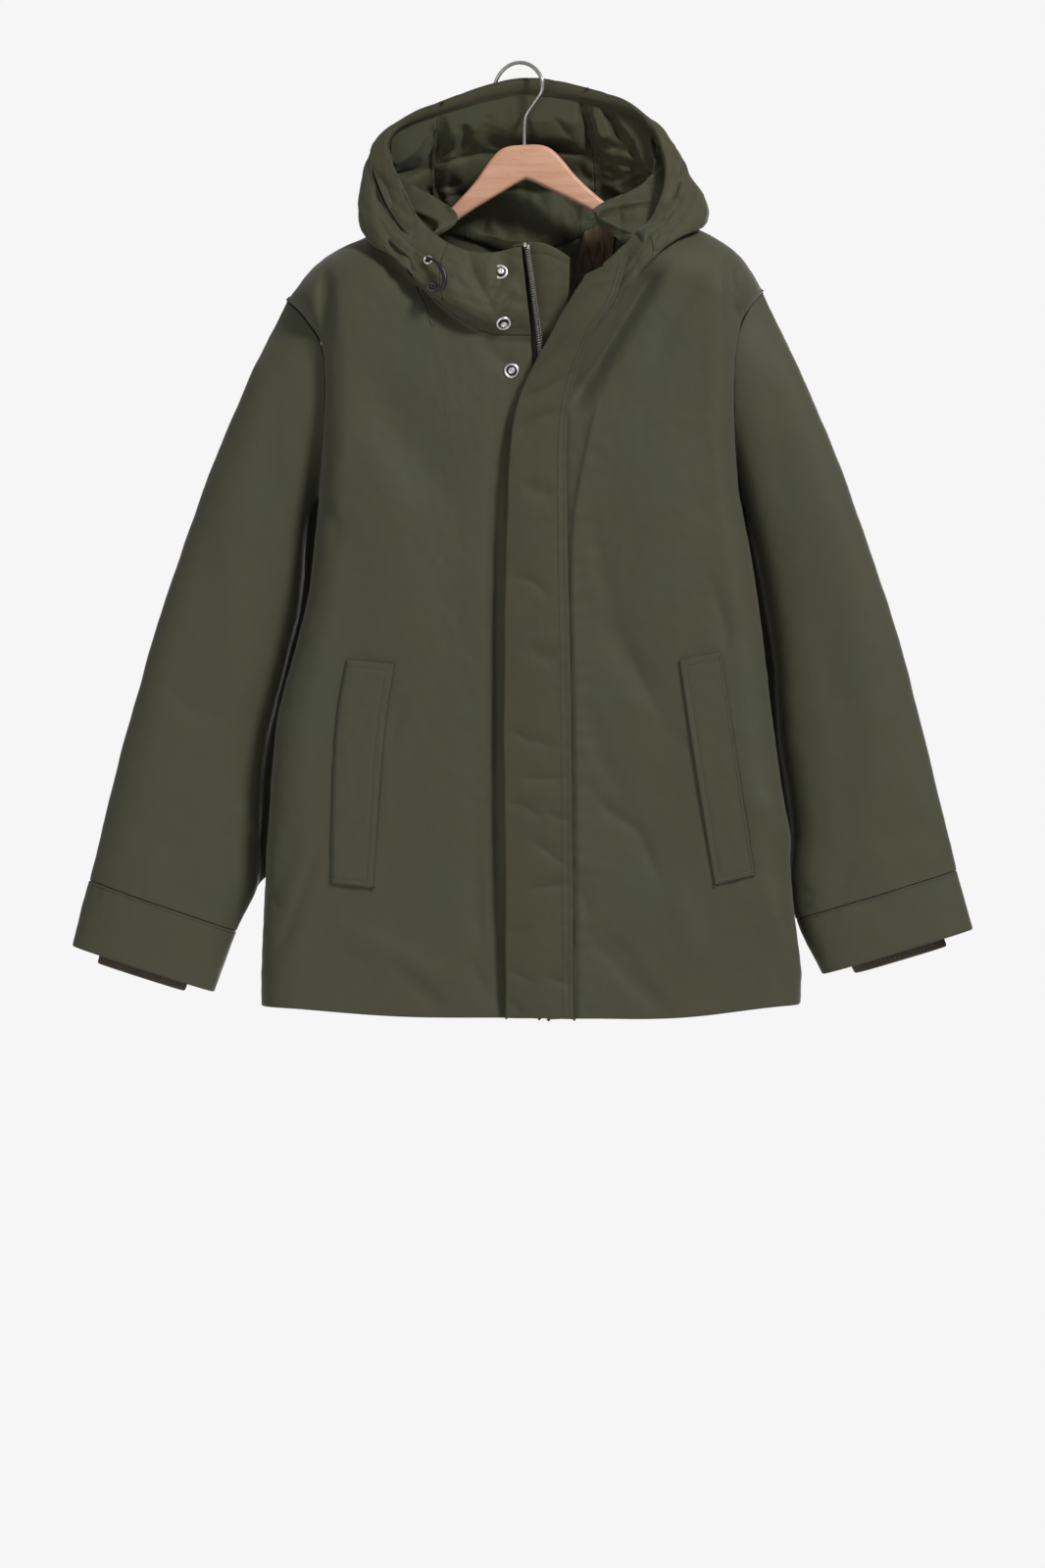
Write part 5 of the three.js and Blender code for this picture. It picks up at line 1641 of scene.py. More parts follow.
@dataclass
class HoodLining:
    """The hood's padded lining: one gathered cloth, held along its seams and quilting."""

    quilts: tuple[float, float] = (0.5, 0.69)
    start: float = 0.19
    end: float = 0.997
    heights: tuple[float, float, float] = (12.0, 11.0, 8.0)
    grow: float = 0.16
    columns: int = 232
    rows: int = 58
    frames: int = 26
    thick: float = 1.2
    hanger_back: float = 8.4
    calm: int = 3
    most: float = 6.0
    middle_most: float = 3.5
    hem: float = 9.0
    # Each side's thick roll: where it stands round the rim and in from it, how tall it
    # is, and how far it comes in over the hanger's arm, in mm.
    rolls: tuple[tuple[float, ...], ...] = (
        (0.292, 0.42, 0.05, 80, -14, 2),
        (0.728, 0.45, 0.055, -80, -14, 4),
        (0.765, 0.62, 0.06, -40, -9, 2),
    )

    def puffs(self, u: Array, w: Array) -> Array:
        """How far the padding pushes the lining inwards before it settles, in mm."""
        lines = (self.start, *self.quilts, self.end)
        rise = np.zeros(u.shape)
        side = smooth((np.abs(u - 0.5) - 0.06) / 0.05)
        for low, high, height in zip(lines[:-1], lines[1:], self.heights):
            share = clamp01((w - low) / (high - low))
            rise = rise + height * mix(0.8, 1.35, side) * np.sin(math.pi * share) ** 0.6
        for seam, wide, hold in (
            (CROWN_RIGHT, 0.009, 0.9),
            (CROWN_LEFT, 0.009, 0.9),
            (0.345, 0.008, 0.5),
            (0.395, 0.007, 0.55),
            (0.595, 0.008, 0.6),
            (0.635, 0.008, 0.55),
            (0.675, 0.007, 0.5),
        ):
            lean = seam + 0.02 * (w - 0.4) * (1 if seam > 0.5 else -1)
            rise = rise * (1 - hold * np.exp(-(((u - lean) / wide) ** 2)))
        return rise

    def rolled(self, u: Array, w: Array) -> Array:
        """How far the thick rolls at the hood's sides stand in, as vectors in mm."""
        free = smooth((w - self.start) / 0.12) * smooth((self.end - w) / 0.14)
        out = np.zeros((*u.shape, 3))
        for at, level, tall, *reach in self.rolls:
            share = free * np.exp(-(((u - at) / tall) ** 2) - ((w - level) / 0.22) ** 2)
            out += share[..., None] * np.array(reach, float)
        return out

    def creased(self, points: Array, w: Array) -> Array:
        """How far the settled lining's creases stand forwards."""
        x, z = points[..., 0], points[..., 2]
        edge = smooth((w - self.start) / 0.03) * smooth((self.end - w) / 0.03)
        web = 0.8 * cracked(x / 30, z / 21, 53) + 0.25 * cracked(x / 12, z / 10, 54)
        return edge * (1.7 * folded(FOLDS_LINING, x, z) - web)

    def held(self, u: Array, w: Array) -> Array:
        """Which places are sewn down."""
        far = self.end - w < 1e-6
        sewn = (w - self.start < 1e-6) | far | (u - COLLAR_RIGHT_END < 1e-6) | (COLLAR_LEFT_END - u < 1e-6)
        step = (self.end - self.start) / (self.rows - 1)
        every = (np.arange(self.columns) % 5 == 0)[None, :]
        middle = smooth((0.16 - np.abs(u - 0.5)) / 0.01) > 0.5
        for line in self.quilts:
            sewn = sewn | ((np.abs(w - line) < step / 2) & every & middle)
        wide = (COLLAR_LEFT_END - COLLAR_RIGHT_END) / (self.columns - 1)
        for seam in (CROWN_RIGHT, CROWN_LEFT):
            sewn = sewn | ((np.abs(u - seam) < wide / 2) & ((np.arange(self.rows) % 3 == 0)[:, None]))
        return sewn

    def settle(self, points: Array, sewn: Array) -> Array:
        """Lets the gathered cloth buckle and sag between what holds it.

        Args:
            points: the grid of places, in mm.
            sewn: which of them are held.

        Returns:
            The settled places.
        """
        count = points.shape[0] * points.shape[1]
        index = np.arange(count).reshape(points.shape[:2])
        quads = np.stack([index[:-1, :-1], index[1:, :-1], index[1:, 1:], index[:-1, 1:]], -1)
        obj = new_object("lining_cloth_work", points.reshape(-1, 3), quads.reshape(-1, 4))
        group = obj.vertex_groups.new(name="sewn")
        group.add([int(i) for i in index[sewn]], 1.0, "REPLACE")
        modifier = obj.modifiers.new("cloth", "CLOTH")
        cloth = modifier.settings
        cloth.quality = 7
        cloth.mass = 0.12
        cloth.tension_stiffness = cloth.compression_stiffness = 12
        cloth.shear_stiffness = 4
        cloth.bending_stiffness = 0.08
        cloth.tension_damping = cloth.compression_damping = cloth.shear_damping = 8
        cloth.air_damping = 3
        cloth.vertex_group_mass = "sewn"
        cloth.shrink_min = -self.grow
        cloth.use_pressure = True
        cloth.uniform_pressure_force = 2.0
        cloth.effector_weights.gravity = 0.2
        modifier.collision_settings.use_collision = False
        scene = bpy.context.scene
        scene.frame_start, scene.frame_end = 1, self.frames
        modifier.point_cache.frame_start, modifier.point_cache.frame_end = 1, self.frames
        for number in range(1, self.frames + 1):
            scene.frame_set(number)
        only(obj)
        bpy.ops.object.modifier_apply(modifier="cloth")
        scene.frame_set(1)
        settled = np.empty(count * 3)
        obj.data.vertices.foreach_get("co", settled)
        bpy.data.objects.remove(obj)
        return settled.reshape(points.shape) / MM

    def build(self, look: bpy.types.Material) -> None:
        """Cuts the lining, settles it and parts it at the crown's seams."""
        us = np.linspace(COLLAR_RIGHT_END, COLLAR_LEFT_END, self.columns)
        for seam in (CROWN_RIGHT, CROWN_LEFT):
            us[np.argmin(np.abs(us - seam))] = seam
        u, w = np.meshgrid(us, np.linspace(self.start, self.end, self.rows))
        plain = Cloth(hood_face, (0.0, 1.0), (0.0, 1.0), -1, thick=self.thick)
        lift = 5.5 + self.puffs(u, w) + 0.5 * noise(u * 30, w * 7, 51)
        shape = hood_face(u, w) + plain.normal(u, w) * lift[..., None] + self.rolled(u, w)
        points = self.settle(shape, self.held(u, w))
        moved = points - shape
        for _ in range(self.calm):
            wide = np.pad(moved, ((1, 1), (1, 1), (0, 0)), mode="edge")
            moved = (wide[:-2, 1:-1] + wide[2:, 1:-1] + wide[1:-1, :-2] + wide[1:-1, 2:]) / 4
        far = np.linalg.norm(moved, axis=-1, keepdims=True)
        most = mix(self.most, self.middle_most, smooth((0.15 - np.abs(u - 0.5)) / 0.06))[..., None]
        points = shape + moved * np.minimum(1.0, most / np.maximum(far, 1e-6))
        shape, points, u, w = finer(shape), finer(points), finer(u), finer(w)
        points[..., 1] -= self.creased(points, w)
        behind = smooth((0.14 - np.abs(u - 0.5)) / 0.02)
        points[..., 1] = mix(points[..., 1], np.maximum(points[..., 1], self.hanger_back), behind)
        shape, points = (np.concatenate([g, g[-1:] - (0, 0, self.hem)]) for g in (shape, points))
        u = np.concatenate([u, u[-1:]])
        right, left = (int(np.argmin(np.abs(u[0] - seam))) for seam in (CROWN_RIGHT, CROWN_LEFT))
        parts = (
            ("hood_lining_right", 0, right),
            ("hood_lining_centre", right, left),
            ("hood_lining_left", left, len(u[0]) - 1),
        )
        across, up = shape[len(shape) // 2], shape[:, len(u[0]) // 2]
        run = [run_along(line) * MM for line in (across, up)]
        uv = np.stack(np.meshgrid(*run), axis=-1)
        for name, a, b in parts:
            take = (slice(None), slice(a, b + 1))
            edge = np.full((*u[take].shape, 1), 50.0)
            # Zero at the crown seams, so the lining darkens along them: seam dirt with painted seam shade.
            edge[:, 0] = edge[:, -1] = 0.0
            plain.cut = plain.measure(shape[take])
            piece = plain.assemble(f"{name}_cloth", [points[take], uv[take], edge, edge])
            finish_piece(piece, look, [name])
            declare(plain)


@dataclass
class Hood:
    """The hood and the crossed collar under it, with the quilted lining inside."""

    rim: float = 560.0
    casing: float = 0.27
    pillow: float = 2.6

    def outer_relief(self, p: Array, u: Array, w: Array) -> Array:
        """The outer cloth's rise: padded between its seams, gathered along the casing."""
        x, z = p[..., 0], p[..., 2]
        rise = 3.2 * folded(FOLDS_HOOD, x, z) * smooth((26 - p[..., 1]) / 14)
        hooded = smooth((u - 0.13) / 0.03) * smooth((0.87 - u) / 0.03)
        seam = np.abs(w - self.casing)
        rise = rise - 1.9 * np.exp(-seam / 0.035) * hooded
        run = u * self.rim
        gather = noise(run / 13, w * 5, 41) * np.exp(-seam / 0.13) * hooded
        rise = rise + 2.1 * gather
        fold = noise(run / 26 + 3 * w, w * 2.2, 43)
        rise = rise + 1.7 * fold * smooth(w / 0.2) + self.pillow * np.sin(math.pi * clamp01(w)) ** 0.8
        rise = rise + 0.4 * noise(run / 7, w * 22, 44) - 1.3 * cracked(run / 27 + 2 * w, w * 5, 45)
        return (rise - 0.35 * self.pillow) * smooth((1 - w) / 0.09)

    def panel(self, a: float, b: float, sewn: float) -> Cloth:
        """An outer panel of the hood or collar."""
        return Cloth(
            hood_face,
            (a, b),
            (0.0, sewn),
            1,
            self.outer_relief,
            thick=2.0,
            step=2.6,
            borders=(Border.SEAM, Border.SEAM, Border.TURNED, Border.RAW),
        )

    def facing_relief(self, p: Array, u: Array, w: Array) -> Array:
        """The facing's rise: a soft band with puckers along its seam."""
        run = u * self.rim
        seam = smooth((w - 0.06) / 0.13)
        band = 2.0 * np.sin(math.pi * clamp01(w / 0.2))
        return band + 0.9 * seam * noise(run / 11, w * 9, 61) + 0.5 * noise(run / 30, w * 3, 62)

    def build(self) -> None:
        """Cuts and sews the panels, the facing and the lining."""
        look, inner = HOOD_CLOTH.material(), LINING_CLOTH.material()
        panels = (
            ("collar_right", 0.0, COLLAR_RIGHT_END),
            ("hood_right", COLLAR_RIGHT_END, CROWN_RIGHT),
            ("hood_centre", CROWN_RIGHT, CROWN_LEFT),
            ("hood_left", CROWN_LEFT, COLLAR_LEFT_END),
            ("collar_left", COLLAR_LEFT_END, 1.0),
        )
        for name, a, b in panels:
            hang(self.panel(a, b, 1.0), name, look)
        facing = Cloth(
            hood_face,
            (COLLAR_RIGHT_END, COLLAR_LEFT_END),
            (0.012, 0.2),
            -1,
            self.facing_relief,
            lift=6.2,
            thick=1.2,
            step=2.0,
        )
        hang(facing, "hood_facing", look)
        HoodLining().build(inner)
        self.neck()
        self.stitching()

    def neck(self) -> None:
        """Hangs the brown gathered lining inside the back neck."""

        def gathers(p: Array, u: Array, v: Array) -> Array:
            """Close uneven gathers that run down from the neck."""
            x = p[..., 0]
            return 2.0 * noise(x / 7, v * 3, 71) + 1.0 * noise(x / 3.4, v * 9, 72) + 0.8

        def yoke(u: Array, v: Array) -> Array:
            """The back's inside, cut lower towards the wearer's right."""
            top = mix(0.78, 0.985, smooth((u - 0.12) / 0.025))
            return back_face(u, 0.6 + (v - 0.6) / 0.385 * (top - 0.6))

        cloth = Cloth(yoke, (-0.22, 0.25), (0.6, 0.985), 1, gathers, lift=6.4, thick=1.2, step=1.6)
        look = BROWN_LINING.material()
        hang(cloth, "neck_lining", look)

    def stitching(self) -> None:
        """Sews the casing's row of stitches round the hood."""
        cloth = self.panel(COLLAR_RIGHT_END, COLLAR_LEFT_END, 0.98)
        runs = []
        for a, b in ((0.145, 0.435), (0.445, 0.555), (0.565, 0.855)):
            u = np.linspace(a, b, 160)
            runs.append(cloth.place(u, np.full(u.shape, self.casing), STITCH_RISE))
        stitch_rows("hood_casing_stitches", runs)


# ---- Sleeves ------------------------------------------------------------------------------
FOLDS_SLEEVE_RIGHT = folds(
    (V, 17, 2.4, (-238, -270), (-250, -400), (-262, -500), (-262, -650)),
    (R, 12, 1.9, (-258, -790), (-288, -752)),
    (C, 8, 1.9, (-296, -892), (-262, -852)),
    (C, 7, 1.6, (-326, -908), (-286, -880)),
    (C, 7, 1.5, (-312, -900), (-298, -936)),
    (V, 26, 2.6, (-300, -420), (-330, -560), (-350, -700)),
    (R, 26, 1.6, (-330, -480), (-372, -680), (-400, -800)),
    (C, 10, 1.3, (-372, -620), (-330, -660), (-290, -668)),
    (V, 16, 1.6, (-400, -780), (-350, -800), (-310, -796)),
)
FOLDS_SLEEVE_LEFT = folds(
    (V, 18, 2.2, (290, -500), (330, -680), (330, -800), (322, -880)),
    (R, 20, 1.8, (320, -480), (356, -660), (370, -820)),
    (C, 7, 1.6, (338, -805), (322, -872)),
    (C, 7, 1.4, (352, -838), (346, -866)),
    (C, 6, 1.8, (283, -838), (302, -852)),
    (C, 6, 1.6, (284, -852), (304, -868)),
    (V, 16, 1.8, (246, -270), (262, -380), (276, -520)),
    (C, 10, 1.3, (390, -610), (340, -648), (296, -650)),
    (V, 14, 1.4, (420, -760), (380, -790), (350, -780)),
)


@dataclass
class Sleeve:
    """One sleeve: its two halves, its cuff band and the rib cuff inside."""

    hand: str
    rows: Table
    side: Table
    out: int
    group: Sequence[Fold]
    seed: int
    rib_out: float = 9.0
    ribs: int = 74

    def face(self) -> Face:
        """The sleeve's face."""
        return sleeve_face(self.rows, self.side)

    def slack(self, u: Array, v: Array) -> Array:
        """The sleeve's face with the back of it sagging in behind the body's side."""
        u, v = np.broadcast_arrays(np.asarray(u, float), np.asarray(v, float))
        p = self.face()(u, v)
        rows = np.array(self.side.rows)
        beside = np.interp(p[..., 2], rows[:, 2], rows[:, 1])
        reach = beside - self.rows.value("xin", v) - 7 * np.sign(beside)
        around = smooth((u - 0.505) / 0.05) * smooth((0.76 - u) / 0.16)
        level = smooth((p[..., 2] + 846) / 30) * smooth((-290 - p[..., 2]) / 40)
        p[..., 0] += reach * around * level
        return p

    def relief(self, p: Array, u: Array, v: Array) -> Array:
        """Folds on the front half, like ones behind, and puckers at the seams."""
        x, z = p[..., 0], p[..., 2]
        front = smooth((0.5 - np.abs(2 * u - 0.5)) * 12) if np.max(u) <= 0.6 else 0.0
        behind = 1 - front
        sway = 12 * np.sign(x)
        rise = front * folded(self.group, x, z) + behind * folded(self.group, x + sway, z + 46)
        rise = rise + 1.5 * noise(x / 60, z / 150, self.seed)
        rise = rise + 0.5 * noise(x / 26, z / 36, self.seed + 1) + 0.2 * noise(x / 10, z / 12, self.seed + 2)
        armhole = np.exp(-v / 0.02) * 0.5 * noise(z / 13, x / 13, self.seed + 3)
        cuff = np.exp(-np.abs(v - CUFF) / 0.012) * 0.7 * noise(x / 9, z / 60, self.seed + 4)
        return rise * (1 - 0.85 * np.exp(-v / 0.03)) + armhole + cuff

    def half(self, back: bool) -> Cloth:
        """The sleeve's front or back half."""
        start = 0.5 if back else 0.0
        return Cloth(
            self.slack if back else self.face(),
            (start + 0.0002, start + 0.4998),
            (0.0016, CUFF - 0.0003),
            self.out,
            self.relief,
            thick=2.0,
            step=3.1 if not back else 3.9,
        )

    def band(self) -> Cloth:
        """The cuff band round the sleeve's end."""

        def relief(p: Array, u: Array, v: Array) -> Array:
            """Soft waves and puckers under the band's seam."""
            x, z = p[..., 0], p[..., 2]
            top = np.exp(-(v - CUFF) / 0.02)
            low = folded(self.group, x, z) * (u < 0.5)
            return (
                0.8 * noise(x / 34, z / 40, self.seed + 6)
                + 0.7 * top * noise(x / 9, z / 60, self.seed + 4)
                + low * 0.7
                + 0.2 * noise(x / 9, z / 11, self.seed + 7)
            )

        return Cloth(
            self.face(),
            (0.0, 1.0),
            (CUFF + 0.0003, 1.0),
            self.out,
            relief,
            thick=2.4,
            step=2.6,
            borders=(Border.RAW, Border.RAW, Border.SEAM, Border.TURNED),
            ring=True,
            tuck=7.0,
        )

    def rib(self) -> Cloth:
        """The ribbed cuff, starting inside the sleeve and narrowing to the wrist."""
        face = self.face()
        last, before = self.rows.rows[-1], self.rows.rows[-2]
        length = math.hypot(last[1] - before[1], last[2] - before[2]) / (1 - CUFF)

        def knit(u: Array, v: Array) -> Array:
            """The sleeve's ring, drawn in round its middle."""
            p, q = face(u, v), face(u + 0.5, v)
            narrow = mix(0.86, 0.62, smooth((v - 0.93) / 0.04))[..., None]
            return mix((p + q) / 2, p, narrow)

        def relief(p: Array, u: Array, v: Array) -> Array:
            """Rounded ribs with narrow valleys."""
            wave = np.abs(np.sin(math.pi * self.ribs * u))
            return 0.9 * wave**0.6 - 0.9 + 0.5 * noise(p[..., 0] / 20, p[..., 2] / 8, self.seed + 8)

        return Cloth(
            knit,
            (0.0, 1.0),
            (0.93, 1 + self.rib_out / length),
            self.out,
            relief,
            thick=2.0,
            step=0.52,
            step_up=1.6,
            borders=(Border.RAW, Border.RAW, Border.RAW, Border.TURNED),
            ring=True,
            roll=1.0,
        )

    def build(self) -> None:
        """Cuts the sleeve and sews its cuff."""
        look = SLEEVE_CLOTH.material()
        for name, back in ((f"sleeve_{self.hand}_front", False), (f"sleeve_{self.hand}_back", True)):
            hang(self.half(back), name, look)
        band, knit = self.band(), RibKnit().material()
        hang(band, f"cuff_band_{self.hand}", look)
        hang(self.rib(), f"rib_cuff_{self.hand}", knit, "knit")
        u = np.linspace(0, 1, 500)
        run = band.place(u, np.full(u.shape, CUFF + 0.0035), STITCH_RISE)
        stitch_rows(f"cuff_stitches_{self.hand}", [run])


# ---- Pocket welts -------------------------------------------------------------------------
@dataclass
class PocketWelt:
    """A slanting welt, free along the edge that faces the centre."""

    hand: str
    corners: tuple[tuple[float, float], ...]
    body: Body
    high: float = 3.4
    thick: float = 2.4
    wide: float = 42.0
    tall: float = 228.0
    margin: float = 6.5
    edge: float = 2.2

    def cloth(self) -> Cloth:
        """The welt's cloth, lying on its front."""
        right = self.hand == "right"
        front = self.body.front(right)
        a, b, c, d = (np.array(locate(front.face, *corner)) for corner in self.corners)

        def over(p: Array, q: Array) -> Array:
            """The front's face between the welt's corners: p outwards, q up."""
            p, q = np.asarray(p, float)[..., None], np.asarray(q, float)[..., None]
            place = mix(mix(a, b, p), mix(d, c, p), q)
            return front.face(place[..., 0], place[..., 1])

        def relief(point: Array, p: Array, q: Array) -> Array:
            """The front's own rise, a soft pillow, and a gape along the free edge."""
            place = mix(mix(a, b, p[..., None]), mix(d, c, p[..., None]), q[..., None])
            below = front.relief(point, place[..., 0], place[..., 1])
            off = np.minimum(np.minimum(p * self.wide, q * self.tall), (1 - q) * self.tall)
            seam = -0.6 * np.exp(-(((off - self.margin) / 1.2) ** 2))
            crumple = 0.45 * noise(p * 3, q * 14, 81) + 0.22 * noise(p * 9, q * 46, 82)
            gape = 1.3 * np.sin(math.pi * clamp01(q)) * np.exp(-p / 0.25)
            pillow = 0.6 * np.sin(math.pi * clamp01(p))
            return below + seam + crumple + gape + pillow

        return Cloth(
            over,
            (0.0, 1.0),
            (0.0, 1.0),
            front.out,
            relief,
            lift=self.high,
            thick=self.thick,
            step=1.7,
            borders=(Border.TURNED,) * 4,
            tuck=1.0,
        )

    def build(self) -> None:
        """Cuts the welt and sews round it."""
        cloth = self.cloth()
        hang(cloth, f"pocket_welt_{self.hand}", SHELL.material())
        m, n = self.margin / self.wide, self.margin / self.tall
        route = [(1.0, 1 - n), (m, 1 - n), (m, n), (1.0, n)]
        runs = []
        t = np.linspace(0.01, 0.99, 120)
        for (p0, q0), (p1, q1) in zip(route[:-1], route[1:]):
            runs.append(cloth.place(mix(p0, p1, t), mix(q0, q1, t), STITCH_RISE))
        runs.append(cloth.place(np.full(t.shape, 1 - self.edge / self.wide), t, STITCH_RISE))
        stitch_rows(f"welt_stitches_{self.hand}", runs)


# ---- Front closing ------------------------------------------------------------------------
PLACKET_CREASES = folds(
    (C, 5, 1.7, (0, -328), (40, -290), (58, -276)),
    (C, 5, 1.5, (-6, -352), (30, -335), (60, -316)),
    (C, 5, 1.4, (-8, -385), (20, -365), (48, -354)),
    (C, 6, 1.3, (-16, -524), (15, -530), (36, -550)),
    (C, 5, 1.3, (-16, -676), (10, -690), (44, -697)),
    (C, 5, 1.5, (-18, -755), (5, -755), (28, -772)),
    (C, 4, 1.2, (-4, -730), (54, -728)),
    (C, 4, 1.2, (26, -762), (57, -774)),
    (C, 5, 1.4, (8, -786), (52, -820)),
    (C, 5, 1.6, (4, -841), (56, -834)),
    (C, 4, 1.1, (-16, -886), (16, -878)),
    (C, 5, 1.5, (-16, -918), (22, -938)),
    (C, 5, 1.6, (18, -926), (48, -935), (57, -898)),
    (C, 5, 1.4, (-14, -946), (8, -972)),
    (C, 5, 1.5, (30, -262), (74, -236), (104, -226)),
    (C, 5, 1.4, (46, -236), (84, -222), (108, -214)),
    (V, 9, 1.2, (0, -430), (40, -446)),
    (V, 9, 1.2, (4, -596), (44, -612)),
)


@dataclass
class FrontClosing:
    """The placket over the front zip, the zip's tapes and teeth, and the guard behind."""

    wide: float = 66.0
    margin: float = 4.5
    row_gap: float = 6.0
    tooth_pitch: float = 2.5
    tooth: tuple[float, float, float] = (3.7, 1.3, 2.2)

    def placket(self) -> Cloth:
        """The placket's cloth, turned at its free edge and sewn at the other."""

        def face(u: Array, v: Array) -> Array:
            """The placket with a slightly wandering free edge."""
            p = placket_face(u, v)
            p[..., 0] += 0.9 * noise(p[..., 2] / 46, p[..., 2] * 0 + 0.5, 91) * (1 - clamp01(u))
            return p

        def relief(p: Array, u: Array, v: Array) -> Array:
            """Creases that cross it, and puckers along both edges."""
            x, z = p[..., 0], p[..., 2]
            sewn = np.exp(-(1 - u) / 0.16)
            free = np.exp(-u / 0.1)
            rise = 1.9 * folded(PLACKET_CREASES, x, z) + 0.9 * noise(x / 40, z / 70, 92)
            rise = rise + 0.8 * sewn * noise(z / 12, u * 2, 93) + 0.4 * free * noise(z / 21, u * 2, 94)
            seam = np.exp(-(((1 - u) * self.wide - self.margin) / 1.3) ** 2)
            return rise + 0.25 * noise(x / 8, z / 10, 95) - 0.6 * seam + 0.9 * np.sin(math.pi * u) - 0.3

        return Cloth(
            face,
            (0.0, 1.0),
            (0.0, 1.0),
            1,
            relief,
            thick=2.6,
            step=2.1,
            borders=(Border.TURNED, Border.SEAM, Border.TURNED, Border.SEAM),
            tuck=2.6,
        )

    def strip(self, a: str, da: float, b: str, db: float, deep: tuple[float, float]) -> Face:
        """A strip that follows the zip between two of its table's columns."""

        def face(u: Array, v: Array) -> Array:
            """A point of the strip, v being its height."""
            u, v = np.broadcast_arrays(np.asarray(u, float), np.asarray(v, float))
            x = mix(ZIP.value(a, v) + da, ZIP.value(b, v) + db, u)
            return np.stack([x, ZIP.value("y", v) + mix(*deep, u), v], axis=-1)

        return face

    def one_tooth(self) -> bpy.types.Object:
        """Models one zip tooth: a bevelled block with a narrow waist and a wider head."""
        long, high, wide = self.tooth
        bpy.ops.object.select_all(action="DESELECT")
        bpy.ops.mesh.primitive_cube_add(size=1, location=(0, 0, 0))
        obj = bpy.context.object
        obj.data.transform(Matrix.Diagonal((long * 0.55 * MM, high * MM, wide * MM, 1)))
        edit(obj)
        choose(obj, "faces", lambda m: m.x > long * 0.2)
        bpy.ops.mesh.extrude_region_move(TRANSFORM_OT_translate={"value": (long * 0.16 * MM, 0, 0)})
        bpy.ops.transform.resize(value=(1, 0.62, 0.8))
        bpy.ops.mesh.extrude_region_move(TRANSFORM_OT_translate={"value": (long * 0.3 * MM, 0, 0)})
        bpy.ops.transform.resize(value=(1, 1.5, 1.0))
        close_edit()
        apply_modifier(obj, "BEVEL", width=0.16 * MM, segments=1, limit_method="ANGLE")
        return obj

    def teeth(self) -> bpy.types.Object:
        """Sets the two rows of teeth, each in the other's gaps."""
        z = np.arange(-962, -194, self.tooth_pitch / 2)
        x, y = ZIP.value("x", z), ZIP.value("y", z)
        side = np.where(np.arange(len(z)) % 2 == 0, 1.0, -1.0)
        slope = np.gradient(x, z)
        places = np.stack([x + 0.8 - side * 1.5, y - 2.2, z], axis=-1)
        along = np.stack([side, 0 * z, -side * slope], axis=-1)
        up = np.broadcast_to(np.array([0.0, -1.0, 0.0]), places.shape)
        return stamp("zip_chain_teeth", self.one_tooth(), places, along, up)

    def stops(self) -> None:
        """Clamps a bright stop above the teeth on each tape."""
        look = NICKEL.material()
        for number, (x, z) in enumerate(((6.6, -190.5), (9.8, -192.5)), start=1):
            bpy.ops.object.select_all(action="DESELECT")
            bpy.ops.mesh.primitive_cube_add(size=1, location=(0, 0, 0))
            obj = bpy.context.object
            obj.name = obj.data.name = f"zip_top_stop_{number}"
            obj.data.transform(Matrix.Diagonal((2.4 * MM, 2.6 * MM, 4.2 * MM, 1)))
            edit(obj)
            bpy.ops.mesh.select_all(action="SELECT")
            bpy.ops.mesh.subdivide(number_cuts=2)
            choose(obj, "faces", lambda m: m.y < -1.2 and abs(m.x) < 0.5 and abs(m.z) < 1.0)
            bpy.ops.mesh.inset(thickness=0.15 * MM)
            bpy.ops.transform.translate(value=(0, -0.4 * MM, 0))
            close_edit()
            apply_modifier(obj, "BEVEL", width=0.5 * MM, segments=3, limit_method="ANGLE")
            bpy.ops.object.shade_smooth_by_angle(angle=math.radians(50))
            obj.data.transform(Matrix.Translation(Vector((x * MM, -71.5 * MM, z * MM))))
            finish_piece(obj, look)

    def guard(self) -> Cloth:
        """The soft guard behind the zip, standing up at the neck."""

        def relief(p: Array, u: Array, v: Array) -> Array:
            """A padded roll along its edges and soft wrinkles."""
            x, z = p[..., 0], p[..., 2]
            rise = 1.2 * noise(x / 22, z / 34, 101) + 0.5 * noise(x / 8, z / 10, 102)
            line = np.exp(-(((1 - u) * 46 - 8) / 1.4) ** 2) + np.exp(-(((1 - v) * 700 - 9) / 1.6) ** 2)
            return rise + 1.4 * np.sin(math.pi * clamp01(u)) - 0.6 * line

        return Cloth(
            guard_face,
            (0.0, 1.0),
            (0.0, 1.0),
            1,
            relief,
            thick=1.6,
            step=2.6,
            borders=(Border.RAW, Border.TURNED, Border.TURNED, Border.TURNED),
            tuck=1.4,
        )

